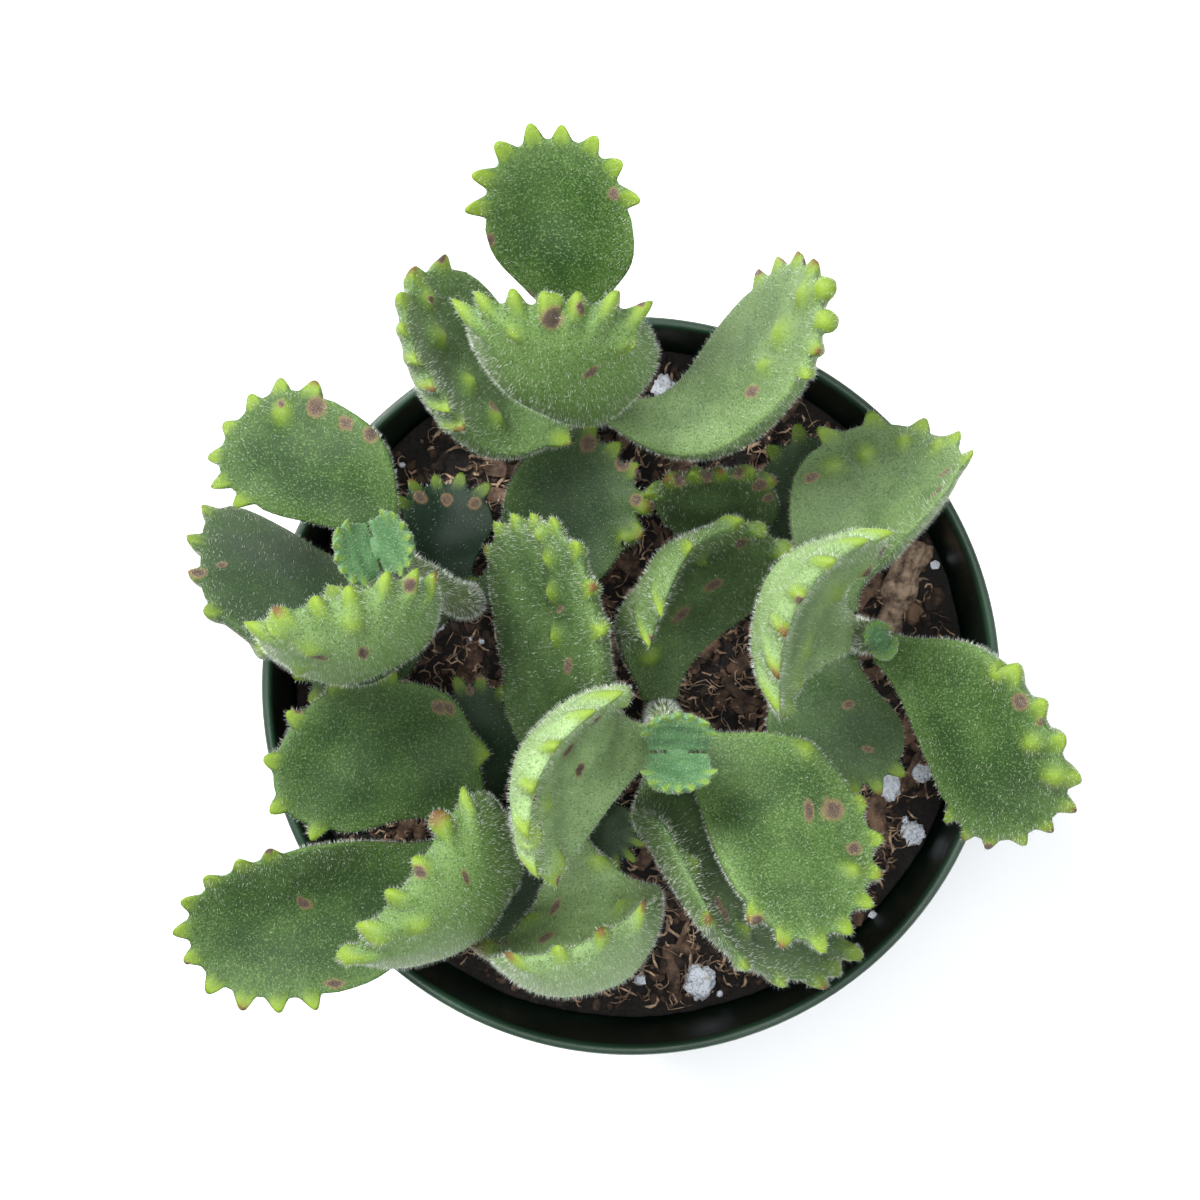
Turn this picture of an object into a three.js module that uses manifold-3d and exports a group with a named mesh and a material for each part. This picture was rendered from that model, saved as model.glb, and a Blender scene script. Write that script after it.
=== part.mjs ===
// A potted bear's paw: a round nursery pot filled with soil, seven leafy shoots with thick
// toothed leaves, three growing tips, grains of perlite and a dried stem on the soil.
// Millimetres, +Z up. The origin is the middle of the pot's flat underside.

import * as THREE from 'three';
import { mergeVertices } from 'three/addons/utils/BufferGeometryUtils.js';
import Module from 'manifold-3d';

const wasm = await Module();
wasm.setup();

const GAP = 0.3;

// The pot: a thin plastic cone with a wider collar at the top.
const RIM_RADIUS = 54;
const POT_HEIGHT = 86;
const FOOT_RADIUS = 38;
const COLLAR_BOTTOM = 64;
const STEP_RADIUS = 49.4;
const COLLAR_RADIUS = 51.8;
const WALL = 1.2;
const FLOOR = 1.6;
const LIP = 1.3;
const POT_SIDES = 56;
const DRAIN_HOLES = 8;
const DRAIN_WIDTH = 9;
const DRAIN_HEIGHT = 5;
const DRAIN_REACH = 14;
const FOOT_ROUND = 1;
const STEP_HEIGHT = 1.5;
const LIP_HEIGHT = 1.6;
const LIP_BEAD = 0.5;
const LIP_ROUND = 0.3;
const INNER_STEP = COLLAR_BOTTOM + 0.9;

// The soil: a little mounded, lower at the wall, with shreds of bark lying in it.
const SOIL_LEVEL = 69.5;
const SOIL_MOUND = 2;
const SOIL_SIDES = 40;
const SOIL_RINGS = [46, 40, 34, 28, 22, 16, 10, 4];
const BARK_PIECES = 18;
const BARK_LENGTH = [4, 9];
const BARK_WIDTH = [1.4, 3];
const BARK_THICKNESS = [1, 1.8];
const BARK_TILT = [0.3, 0.12];
const BARK_REACH = 44;
const BARK_LIFT = 0.1;
const SOIL_SLACK = 0.4;
const SOIL_STEP_GAP = 1.2;
const ROOT_DEPTH = 16;

// The leaf: flat above, swollen below, with blunt teeth round its far end.
const BASE_SHARE = 0.19;
const WIDEST = 0.62;
const TIP_POWER = 2.4;
const SKEW_FROM = 0.2;
const TOP_SHARE = 0.14;
const EDGE_POWER = 2.6;
const EDGE_STEPS = 14;
const FLARE = [-0.15, 1.02];
const FOOT_THICKNESS = 0.58;
const SWELL = [0.12, 1.07];
const DISH = [0.05, 0.5];
const FOOT_LEAN = 0.4;
const RING_STEPS = [1, 0.85, 0.45];
const TOOTH_HEIGHT = 1.8;
const TOOTH_FADE = 6;
const MARGIN_STEPS = 7;
const SPINE_STEPS = 16;
const TURN_END = 0.5;
const CORE = [0.14, 0.66];

// The tooth: a blunt knob of this width, or narrower where the teeth stand closer, with a flat
// share at its top. The edge dips a little between two of them.
const TOOTH_WIDTH = 3;
const TOOTH_FILL = 0.44;
const TOOTH_BLUNT = 0.35;
const NOTCH_DIP = 0.15;

// The stem: round, a little thinner at its top.
const STEM_SIDES = 8;
const STEM_RADIUS = 2.7;
const STEM_TAPER = 0.75;
const STEM_STEPS = 9;
const STEM_TIP = 0.7;

// Each shoot: where it leaves the soil, where it ends, and how far it bows out between.
const SHOOTS = {
  north: { foot: [-4.5, 41], top: [-8, 47, 118], bow: [0.5, -2.5] },
  west: { foot: [-24, 12.5], top: [-35, 19.5, 121], bow: [4, -3] },
  centre: { foot: [5, -5], top: [6, -8, 122], bow: [-1, 2] },
  east: { foot: [30, 9], top: [34, 7, 113], bow: [-1, 0] },
  southwest: { foot: [-20, -21], top: [-21.5, -22.5, 102], bow: [1, 1] },
  south: { foot: [-10, -19], top: [-10, -17.5, 96], bow: [-1, 0] },
  middle: { foot: [16, 14], top: [15.5, 15.5, 84], bow: [0, 0] },
};

// Each leaf: its shoot, the height where it grows from it, its heading and how far it turns, how
// steeply it rises at its foot and at its tip, its roll about its own length, its length, width
// and thickness, how deep it is dished, and its teeth: their number and the stretch of the edge
// that they take, from 0 at the right side of the foot to 1 at the left. Two leaves whose foot
// bends back towards the stem stand a little further clear of it.
const LEAVES = {
  north_leaf_1: {
    on: 'north', z: 113.5, az: 96, turn: -5, rise: [30, 23], roll: 5,
    size: [29.5, 20, 6.5], cup: 4.5, teeth: [8, 0.3, 0.72], skew: -0.1, toothScale: 1.15,
  },
  north_leaf_2: {
    on: 'north', z: 112.5, az: -96, turn: 11, rise: [78, 128], roll: 8,
    size: [35, 24.5, 7], cup: 2.5, teeth: [7, 0.34, 0.65], skew: 0.1, tip: 3.2, toothScale: 1.35,
  },
  north_leaf_3: {
    on: 'north', z: 95, az: 209, turn: -82, rise: [8, 44], roll: -47,
    size: [35.5, 21.5, 7], cup: 3.5, teeth: [8, 0.38, 0.8],
  },
  north_leaf_4: {
    on: 'north', z: 94, az: -27, turn: 78, rise: [8, 49], roll: 49,
    size: [43.5, 20.5, 7], cup: 0.5, teeth: [8, 0.35, 0.68], skew: 0.1,
  },
  west_leaf_1: {
    on: 'west', z: 113.5, az: 121, turn: 7, rise: [26, -32], roll: 13,
    size: [30, 19.5, 6.5], cup: 0, teeth: [7, 0.32, 0.75], skew: -0.3,
  },
  west_leaf_2: {
    on: 'west', z: 99, az: 208, turn: -40, rise: [28, 14], roll: -53,
    size: [35, 29, 7], cup: 0, teeth: [5, 0.35, 0.74], skew: 0.3, tip: 3.2, clear: 0.3,
  },
  west_leaf_3: {
    on: 'west', z: 112, az: -130, turn: 47, rise: [44, 128], roll: -12,
    size: [34.5, 24, 7.5], cup: 2.5, teeth: [7, 0.34, 0.7], skew: 0.1, tip: 3.2,
  },
  west_leaf_4: {
    on: 'west', z: 80.5, az: 28, turn: 15, rise: [10, 14], roll: -10,
    size: [29, 20, 6.5], cup: 2.5, teeth: [6, 0.31, 0.64], skew: -0.2, tip: 3.2,
  },
  west_leaf_5: {
    on: 'west', z: 76.5, az: 108, turn: -7, rise: [16, -14], roll: -17,
    size: [15.5, 13.5, 5.5], cup: 2, teeth: [5, 0.3, 0.7], skew: -0.05,
  },
  west_leaf_6: {
    on: 'west', z: 79, az: 203, turn: 8, rise: [15, 5],
    size: [24, 13, 6], cup: 2, teeth: [6, 0.3, 0.7],
  },
  southwest_leaf_1: {
    on: 'southwest', z: 94, az: 128, turn: 15, rise: [7, 26], roll: -6,
    size: [31.5, 25, 6.5], cup: 2.5, teeth: [6, 0.28, 0.77], skew: -0.25,
  },
  southwest_leaf_2: {
    on: 'southwest', z: 89, az: 214, turn: -11, rise: [21, 10], roll: 18,
    size: [45, 22.5, 6.5], cup: 4, teeth: [10, 0.28, 0.7], skew: 0.2,
  },
  southwest_leaf_3: {
    on: 'southwest', z: 97, az: -131, turn: 92, rise: [50, 139], roll: -4,
    size: [32, 28.5, 7], cup: 4.5, teeth: [6, 0.31, 0.68], skew: 0.05, tip: 3.2,
  },
  southwest_leaf_4: {
    on: 'southwest', z: 78.5, az: 100, rise: [30, 10],
    size: [20, 11, 5.5], cup: 2, teeth: [6, 0.3, 0.7],
  },
  south_leaf_1: {
    on: 'south', z: 91.5, az: 89, turn: 13, rise: [21, 8], roll: 61,
    size: [40.5, 29, 7], cup: 0, teeth: [8, 0.25, 0.66], skew: 0.1, tip: 3.2,
  },
  south_leaf_2: {
    on: 'south', z: 90, az: -74, turn: 3, rise: [15, 121],
    size: [42, 24.5, 7], cup: 4.5, teeth: [4, 0.39, 0.63], skew: 0.1, tip: 3.2, clear: 0.3,
  },
  south_leaf_3: {
    on: 'south', z: 77, az: -112, turn: -14, rise: [8, -2],
    size: [20, 12, 5.5], cup: 2, teeth: [7, 0.3, 0.7],
  },
  south_leaf_4: {
    on: 'south', z: 78, az: -22, rise: [20, 0],
    size: [10, 8.5, 5], cup: 1, teeth: [5, 0.3, 0.7],
  },
  centre_leaf_1: {
    on: 'centre', z: 112, az: 193, turn: -15, rise: [39, 86], roll: 18,
    size: [32.5, 24.5, 7.5], cup: 4.5, teeth: [7, 0.28, 0.73], skew: -0.15, tip: 3.2,
  },
  centre_leaf_2: {
    on: 'centre', z: 109, az: -33, turn: 4, rise: [18, 6], roll: 34,
    size: [32.5, 26, 6.5], cup: 0.5, teeth: [8, 0.25, 0.7], skew: 0.3,
  },
  centre_leaf_3: {
    on: 'centre', z: 95, az: -71, turn: 6, rise: [26, 33], roll: 60,
    size: [40.5, 33, 7], cup: 3.5, teeth: [5, 0.31, 0.69], skew: -0.05, tip: 3.2,
  },
  centre_leaf_4: {
    on: 'centre', z: 90, az: 96, turn: -36, rise: [10, 51], roll: -62,
    size: [32, 25, 7], cup: 5.5, teeth: [5, 0.29, 0.83], skew: -0.1, tip: 3.2,
  },
  east_leaf_1: {
    on: 'east', z: 108, az: 170, turn: -22, rise: [50, 92],
    size: [33, 26.5, 7.5], cup: 5, teeth: [7, 0.29, 0.7], skew: 0.05,
  },
  east_leaf_2: {
    on: 'east', z: 105.5, az: -32, turn: -10, rise: [39, -14], roll: -39,
    size: [36.5, 23, 6.5], cup: 0, teeth: [10, 0.27, 0.8], skew: 0.3,
  },
  east_leaf_3: {
    on: 'east', z: 93.5, az: -104, turn: 6, rise: [20, 0], roll: 6,
    size: [20, 20, 6.5], cup: 1.5, teeth: [7, 0.3, 0.7], skew: -0.05,
  },
  east_leaf_4: {
    on: 'east', z: 92, az: 103, turn: -44, rise: [6, -9], roll: 37,
    size: [30.5, 22.5, 6.5], cup: 6, teeth: [5, 0.35, 0.72], skew: 0.2,
  },
  middle_leaf_1: {
    on: 'middle', z: 79, az: 101, rise: [37, 61], roll: 6,
    size: [20, 17.5, 6], cup: 0, teeth: [6, 0.3, 0.7], skew: -0.1, tip: 3.2,
  },
  middle_leaf_2: {
    on: 'middle', z: 75.5, az: 58, rise: [12, 0],
    size: [23, 12, 6], cup: 2, teeth: [5, 0.3, 0.7],
  },
};

// Each growing tip: two young leaves that stand up face to face on the end of their shoot.
const BUDS = {
  west_bud: { on: 'west', az: 197, size: [6.5, 8.2, 2.2] },
  centre_bud: { on: 'centre', az: 90, size: [6.5, 9, 2.2] },
  east_bud: { on: 'east', az: 120, size: [3.5, 3.6, 1.2] },
};
const YOUNG_LEAF = { rise: [32, 58], cup: 0.6, teeth: [7, 0.16, 0.84], base: 0.72, tip: 2.2 };
const BUD_COLLAR = 0.26;
const BUD_FOOT = 0.12;
const BUD_FOOT_RISE = 1.3;
const BUD_TOOTH = 0.06;
const BUD_TOOTH_WIDTH = 0.22;

// White grains of perlite that lie on the soil.
const PERLITE = {
  perlite_grain_1: { at: [39, -15.5], size: [3.2, 4.4, 3] },
  perlite_grain_2: { at: [44, -13.5], size: [2.8, 2.8, 2.4] },
  perlite_grain_3: { at: [42.5, -22.5], size: [3.4, 3.6, 3] },
  perlite_grain_4: { at: [10.5, -45], size: [4.4, 5, 3.2] },
  perlite_grain_5: { at: [5, 44.5], size: [3.4, 3.8, 3] },
};
const GRAIN_SWELL = [0.8, 1.15];
const GRAIN_LIFT = 0.12;
const GRAIN_SEED = 11;

// A dried, flattened stem that lies half sunk in the soil.
const DRIED = {
  from: [42.5, 21.5], to: [38.5, 8], half: [2.6, 1.7], steps: 6,
  lift: 1.1, flat: 0.62, slant: 0.3, knots: 0.35, knotStep: 2.3,
};

const radians = THREE.MathUtils.degToRad;
const mix = THREE.MathUtils.lerp;
const clamp = THREE.MathUtils.clamp;
const smoothstep = THREE.MathUtils.smoothstep;
const FULL_TURN = 2 * Math.PI;

function finish(color, roughness, metalness = 0) {
  return new THREE.MeshStandardMaterial({ color, roughness, metalness });
}

const FINISHES = {
  pot: finish(0x1f3d2c, 0.45),
  soil: finish(0x3a2a20, 1),
  leaf: finish(0x5f8c4c, 0.8),
  stem: finish(0x8fa07c, 0.85),
  bud: finish(0x7fae63, 0.8),
  perlite: finish(0xdcdcd8, 0.95),
  dried: finish(0x7a5f4a, 0.95),
};

// A repeatable stream of numbers between 0 and 1.
function seededRandom(seed) {
  const factor = 16807;
  const period = 2147483647;
  let state = seed;
  return () => {
    state = (state * factor) % period;
    return state / period;
  };
}

// A closed mesh as a solid that can be joined and cut.
function toSolid(geometry) {
  const plain = geometry.clone();
  plain.deleteAttribute('normal');
  plain.deleteAttribute('uv');
  const merged = mergeVertices(plain, 1e-4);
  return new wasm.Manifold(new wasm.Mesh({
    numProp: 3,
    vertProperties: new Float32Array(merged.attributes.position.array),
    triVerts: new Uint32Array(merged.index.array),
  }));
}

// The largest body of a solid, as a mesh again: crumbs that a cut leaves behind are dropped.
function toGeometry(solid) {
  const largest = solid.decompose().sort((a, b) => b.volume() - a.volume())[0];
  const mesh = largest.getMesh();
  const geometry = new THREE.BufferGeometry();
  geometry.setAttribute('position', new THREE.BufferAttribute(mesh.vertProperties, 3));
  geometry.setIndex(new THREE.BufferAttribute(mesh.triVerts, 1));
  return geometry;
}

function skinOf(points, faces) {
  const geometry = new THREE.BufferGeometry();
  const flat = new Float32Array(points.flatMap((p) => [p.x, p.y, p.z]));
  geometry.setAttribute('position', new THREE.BufferAttribute(flat, 3));
  geometry.setIndex(faces);
  return geometry;
}

function ringMiddle(ring) {
  const sum = ring.reduce((total, point) => total.add(point), new THREE.Vector3());
  return sum.divideScalar(ring.length);
}

// Joins rings of points, given from the first end to the last, into one closed skin.
function ringSkin(rings) {
  const count = rings[0].length;
  const points = rings.flat();
  const lastStart = points.length - count;
  const firstMiddle = points.push(ringMiddle(rings[0])) - 1;
  const lastMiddle = points.push(ringMiddle(rings[rings.length - 1])) - 1;
  const faces = [];
  for (let i = 0; i < count; i += 1) {
    const next = (i + 1) % count;
    faces.push(firstMiddle, next, i);
    faces.push(lastMiddle, lastStart + i, lastStart + next);
    for (let start = 0; start < lastStart; start += count) {
      const [a, b] = [start + i, start + next];
      faces.push(a, b, b + count, a, b + count, a + count);
    }
  }
  return skinOf(points, faces);
}

// The pot's half outline goes up the outside, over the lip and down the inside.
function potGeometry() {
  const outside = [
    [0, 0],
    [FOOT_RADIUS - FOOT_ROUND, 0],
    [FOOT_RADIUS, FOOT_ROUND],
    [STEP_RADIUS, COLLAR_BOTTOM],
    [COLLAR_RADIUS, COLLAR_BOTTOM + STEP_HEIGHT],
    [RIM_RADIUS - LIP_BEAD, POT_HEIGHT - LIP_HEIGHT - LIP_BEAD],
    [RIM_RADIUS, POT_HEIGHT - LIP_HEIGHT],
    [RIM_RADIUS, POT_HEIGHT - LIP_ROUND],
    [RIM_RADIUS - LIP_ROUND, POT_HEIGHT],
  ];
  const inside = [
    [RIM_RADIUS - LIP, POT_HEIGHT],
    [RIM_RADIUS - LIP - LIP_ROUND, POT_HEIGHT - 2 * LIP_ROUND],
    [COLLAR_RADIUS - WALL, INNER_STEP + STEP_HEIGHT],
    [STEP_RADIUS - WALL, INNER_STEP],
    [FOOT_RADIUS - WALL, FLOOR],
    [0, FLOOR],
  ];
  const outline = [...outside, ...inside].map(([r, z]) => new THREE.Vector2(r, z));
  const shell = new THREE.LatheGeometry(outline, POT_SIDES).rotateX(Math.PI / 2);
  let pot = toSolid(shell);
  for (let i = 0; i < DRAIN_HOLES; i += 1) {
    const slot = new THREE.BoxGeometry(DRAIN_REACH, DRAIN_WIDTH, 2 * DRAIN_HEIGHT);
    slot.translate(FOOT_RADIUS, 0, 0).rotateZ((i / DRAIN_HOLES) * FULL_TURN);
    pot = pot.subtract(toSolid(slot));
  }
  return toGeometry(pot);
}

// The height of the soil: a low mound with slow swells and finer lumps on it.
function soilHeight(x, y) {
  const out = Math.hypot(x, y) / COLLAR_RADIUS;
  const swell = 0.8 * Math.sin(0.31 * x + 1.2) * Math.cos(0.27 * y);
  const crumb = 0.5 * Math.sin(0.83 * x - 0.62 * y) * Math.cos(0.71 * x + 0.4);
  return SOIL_LEVEL + SOIL_MOUND * (1 - out * out) + swell + crumb;
}

// One ring of the soil's skin: level where a height is given, else on the soil's surface.
function soilRing(radius, height) {
  return Array.from({ length: SOIL_SIDES }, (_, i) => {
    const angle = (i / SOIL_SIDES) * FULL_TURN;
    const [x, y] = [radius * Math.cos(angle), radius * Math.sin(angle)];
    return new THREE.Vector3(x, y, height ?? soilHeight(x, y));
  });
}

// A shred of bark that lies nearly flat, half sunk in the soil.
function barkPiece(random) {
  const reach = BARK_REACH * Math.sqrt(random());
  const angle = FULL_TURN * random();
  const [x, y] = [reach * Math.cos(angle), reach * Math.sin(angle)];
  const sides = [BARK_LENGTH, BARK_WIDTH, BARK_THICKNESS].map(([a, b]) => mix(a, b, random()));
  const [tiltX, tiltY] = BARK_TILT.map((tilt) => mix(-tilt, tilt, random()));
  const piece = new THREE.BoxGeometry(...sides);
  piece.rotateX(tiltX).rotateY(tiltY).rotateZ(Math.PI * random());
  return piece.translate(x, y, soilHeight(x, y) + BARK_LIFT);
}

// The soil fills the pot with a small gap all round, also under the step of the collar.
function soilGeometry(pockets) {
  const shrink = WALL + GAP + SOIL_SLACK;
  const rings = [
    soilRing(FOOT_RADIUS - shrink, FLOOR + GAP),
    soilRing(STEP_RADIUS - shrink, INNER_STEP),
    soilRing(COLLAR_RADIUS - shrink, INNER_STEP + STEP_HEIGHT + SOIL_STEP_GAP),
    soilRing(COLLAR_RADIUS - shrink + SOIL_SLACK / 2),
    ...SOIL_RINGS.map((radius) => soilRing(radius)),
  ];
  let soil = toSolid(ringSkin(rings));
  const random = seededRandom(41);
  for (let i = 0; i < BARK_PIECES; i += 1) {
    soil = soil.add(toSolid(barkPiece(random)));
  }
  pockets.forEach((pocket) => {
    soil = soil.subtract(toSolid(pocket));
  });
  return toGeometry(soil);
}

// The line that a shoot follows: straight up out of the root ball, then bowed to its top.
function shootCurve(shoot) {
  const [footX, footY] = shoot.foot;
  const [topX, topY, topZ] = shoot.top;
  const [bowX, bowY] = shoot.bow;
  const level = soilHeight(footX, footY);
  const root = new THREE.Vector3(footX, footY, level - ROOT_DEPTH);
  const ground = new THREE.Vector3(footX, footY, level);
  const top = new THREE.Vector3(topX, topY, topZ);
  const half = ground.clone().lerp(top, 0.5).add(new THREE.Vector3(bowX, bowY, 0));
  return new THREE.CatmullRomCurve3([root, ground, half, top]);
}

// The place on a shoot at one height, found by halving: its middle and its share of the way up.
function shootAt(shoot, z) {
  const curve = shootCurve(shoot);
  let share = 0.5;
  let step = 0.25;
  while (step > 1e-6) {
    share += curve.getPoint(share).z < z ? step : -step;
    step /= 2;
  }
  return { middle: curve.getPoint(share), share };
}

// How thick a stem is at one share of its way up.
function stemRadius(share) {
  return STEM_RADIUS * mix(1, STEM_TAPER, share);
}

// A stem, or with some extra all round the hole that it stands in.
function stemGeometry(shoot, extra = 0) {
  const curve = shootCurve(shoot);
  const rings = [];
  for (let s = 0; s <= STEM_STEPS; s += 1) {
    const share = s / STEM_STEPS;
    const middle = curve.getPoint(share);
    middle.z -= share === 0 ? extra : 0;
    const radius = (stemRadius(share) + extra) * (share === 1 ? STEM_TIP : 1);
    rings.push(Array.from({ length: STEM_SIDES }, (_, i) => {
      const angle = (i / STEM_SIDES) * FULL_TURN;
      const out = new THREE.Vector3(Math.cos(angle), Math.sin(angle), 0);
      return out.multiplyScalar(radius).add(middle);
    }));
  }
  return ringSkin(rings);
}

// The smooth edge of a leaf in its own plane, from the right side of its foot round its tip to
// the left side, as a point for each share of the way. x runs across the leaf and y along it.
function edgeCurve({ size: [length, width], base = BASE_SHARE, tip = TIP_POWER }) {
  const half = width / 2;
  const right = [];
  for (let i = 0; i < EDGE_STEPS; i += 1) {
    const share = i / EDGE_STEPS;
    const flare = THREE.MathUtils.smootherstep(share, ...FLARE);
    right.push(new THREE.Vector2(half * mix(base, 1, flare), share * WIDEST * length));
  }
  for (let i = 0; i <= EDGE_STEPS; i += 1) {
    const angle = (i / EDGE_STEPS) * (Math.PI / 2);
    const out = Math.abs(Math.cos(angle)) ** (2 / tip);
    const far = mix(WIDEST, 1, Math.sin(angle) ** (2 / tip));
    right.push(new THREE.Vector2(half * out, length * far));
  }
  const left = right.slice(0, -1).map((point) => new THREE.Vector2(-point.x, point.y));
  return [...right, ...left.reverse()];
}

function edgeLength(points) {
  return points.slice(1).reduce((sum, point, i) => sum + point.distanceTo(points[i]), 0);
}

// The point at one share of the way along an edge, and the direction that points out of it.
function alongEdge(points, share) {
  const lengths = [0];
  for (let i = 1; i < points.length; i += 1) {
    lengths.push(lengths[i - 1] + points[i].distanceTo(points[i - 1]));
  }
  const want = share * lengths[lengths.length - 1];
  const found = lengths.findIndex((length) => length >= want);
  const i = clamp(found, 1, points.length - 1);
  const part = (want - lengths[i - 1]) / (lengths[i] - lengths[i - 1]);
  const point = points[i - 1].clone().lerp(points[i], part);
  const run = points[i].clone().sub(points[i - 1]).normalize();
  return { point, out: new THREE.Vector2(run.y, -run.x) };
}

// The edge with its teeth: four points to a tooth, fewer along the plain sides.
function toothedEdge(leaf, height) {
  const [count, from, to] = leaf.teeth;
  const smooth = edgeCurve(leaf);
  const edge = [];
  const put = (share, push) => {
    const { point, out } = alongEdge(smooth, share);
    edge.push({ x: point.x, y: point.y, outX: out.x, outY: out.y, push });
  };
  const before = Math.max(2, Math.round(from * 2 * MARGIN_STEPS));
  const after = Math.max(2, Math.round((1 - to) * 2 * MARGIN_STEPS));
  for (let i = 0; i < before; i += 1) {
    put((i / before) * from, 0);
  }
  const pitch = (to - from) / count;
  const halfTooth = (leaf.toothWidth ?? TOOTH_WIDTH) / 2;
  const reach = Math.min(pitch * TOOTH_FILL, halfTooth / edgeLength(smooth));
  for (let tooth = 0; tooth < count; tooth += 1) {
    const middle = from + (tooth + 0.5) * pitch;
    put(middle - reach, -NOTCH_DIP * height);
    put(middle - TOOTH_BLUNT * reach, height);
    put(middle + TOOTH_BLUNT * reach, height);
    put(middle + reach, -NOTCH_DIP * height);
  }
  for (let i = 1; i <= after; i += 1) {
    put(mix(to, 1, i / after), 0);
  }
  return edge;
}

// The line that a leaf follows from its foot, with its direction and its upper side on the way.
function leafSpine({ az, turn = 0, roll = 0, rise: [footRise, tipRise], size: [length] }, foot) {
  const at = (t) => {
    const turned = smoothstep(t, 0, TURN_END);
    const heading = radians(az + turn * turned);
    const rise = radians(mix(footRise, tipRise, t));
    const along = new THREE.Vector3(
      Math.cos(rise) * Math.cos(heading),
      Math.cos(rise) * Math.sin(heading),
      Math.sin(rise),
    );
    const across = new THREE.Vector3(Math.sin(heading), -Math.cos(heading), 0);
    across.applyAxisAngle(along, -radians(roll * turned));
    const up = new THREE.Vector3().crossVectors(across, along);
    return { along, across, up };
  };
  const places = [foot.clone()];
  for (let i = 0; i < SPINE_STEPS; i += 1) {
    const step = at((i + 0.5) / SPINE_STEPS).along.multiplyScalar(length / SPINE_STEPS);
    places.push(places[i].clone().add(step));
  }
  return (x, y, h) => {
    const t = clamp(y / length, 0, 1);
    const i = Math.min(Math.floor(t * SPINE_STEPS), SPINE_STEPS - 1);
    const { along, across, up } = at(t);
    const place = places[i].clone().lerp(places[i + 1], t * SPINE_STEPS - i);
    place.addScaledVector(along, y - t * length);
    return place.addScaledVector(across, x).addScaledVector(up, h);
  };
}

// How thick a leaf is at one share of its length: thickest a little short of the middle.
function bodyThickness(leaf, share) {
  const swell = Math.sin(Math.PI * Math.min(1, mix(...SWELL, share)));
  return leaf.size[2] * mix(FOOT_THICKNESS, 1, swell);
}

// One loop round the leaf, drawn in from the edge to the given share, above it or below it.
function leafLoop(leaf, edge, place, inward, above) {
  const [length, width] = leaf.size;
  const full = Math.sqrt(1 - inward ** EDGE_POWER);
  const shell = above ? TOP_SHARE : TOP_SHARE - 1;
  return edge.map((p) => {
    const push = p.push * inward ** TOOTH_FADE;
    const core = clamp(p.y, CORE[0] * length, CORE[1] * length);
    const x = inward * (p.x + push * p.outX);
    const y = mix(core, p.y + push * p.outY, inward);
    const share = clamp(y / length, 0, 1);
    const dish = leaf.cup * (2 * x / width) ** 2 * smoothstep(share, ...DISH);
    const aside = (leaf.skew ?? 0) * width * smoothstep(share, SKEW_FROM, 1);
    return place(x + aside, y, dish + shell * full * bodyThickness(leaf, share));
  });
}

// Fills a loop rung by rung, from the foot up to the tip, with its corners in the given order.
function rungFaces(edge) {
  const faces = [];
  let [right, left] = [0, edge.length - 1];
  while (left - right > 1) {
    const byRight = edge[right + 1].y <= edge[left - 1].y;
    const third = byRight ? right + 1 : left - 1;
    faces.push([right, third, left]);
    right += byRight ? 1 : 0;
    left -= byRight ? 0 : 1;
  }
  return faces;
}

// A whole leaf: loops from the middle of its upper face, over its edge, to the middle below.
function leafGeometry(leaf, foot) {
  const edge = toothedEdge(leaf, TOOTH_HEIGHT * (leaf.toothScale ?? 1));
  const place = leafSpine(leaf, foot);
  const above = [...RING_STEPS].reverse();
  const below = RING_STEPS.slice(1);
  const loops = [
    ...above.map((inward) => leafLoop(leaf, edge, place, inward, true)),
    ...below.map((inward) => leafLoop(leaf, edge, place, inward, false)),
  ];
  const faces = [];
  const count = edge.length;
  const lastStart = (loops.length - 1) * count;
  for (let start = 0; start < lastStart; start += count) {
    for (let i = 0; i < count; i += 1) {
      const [a, b] = [start + i, start + ((i + 1) % count)];
      faces.push(a, b + count, b, a, a + count, b + count);
    }
  }
  rungFaces(edge).forEach(([a, b, c]) => {
    faces.push(a, b, c, lastStart + a, lastStart + c, lastStart + b);
  });
  return skinOf(loops.flat(), faces);
}

// Puts a leaf on its shoot, with a small gap between the stem and the foot of the leaf.
function leafOnShoot(leaf) {
  const shoot = SHOOTS[leaf.on];
  const { middle, share } = shootAt(shoot, leaf.z);
  const heading = radians(leaf.az);
  const lean = FOOT_LEAN * TOP_SHARE * leaf.size[2] * Math.sin(radians(leaf.rise[0]));
  const standOff = stemRadius(share) * Math.cos(Math.PI / STEM_SIDES) + GAP + lean;
  const out = new THREE.Vector3(Math.cos(heading), Math.sin(heading), 0);
  return leafGeometry(leaf, middle.addScaledVector(out, standOff + (leaf.clear ?? 0)));
}

// A growing tip: two small upright leaves with a short collar that holds them together.
function budGeometry(bud) {
  const [length] = bud.size;
  const [topX, topY, topZ] = SHOOTS[bud.on].top;
  const foot = new THREE.Vector3(topX, topY, topZ + GAP);
  const collarRadius = BUD_COLLAR * length;
  const collar = new THREE.SphereGeometry(collarRadius, STEM_SIDES, 5);
  let solid = toSolid(collar.translate(foot.x, foot.y, foot.z + collarRadius));
  [bud.az, bud.az + 180].forEach((az) => {
    const heading = radians(az);
    const side = new THREE.Vector3(Math.cos(heading), Math.sin(heading), BUD_FOOT_RISE);
    const start = foot.clone().addScaledVector(side, BUD_FOOT * length);
    const teeth = { toothScale: BUD_TOOTH * length, toothWidth: BUD_TOOTH_WIDTH * length };
    const young = { ...YOUNG_LEAF, ...teeth, az, size: bud.size };
    solid = solid.add(toSolid(leafGeometry(young, start)));
  });
  return toGeometry(solid);
}

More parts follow.
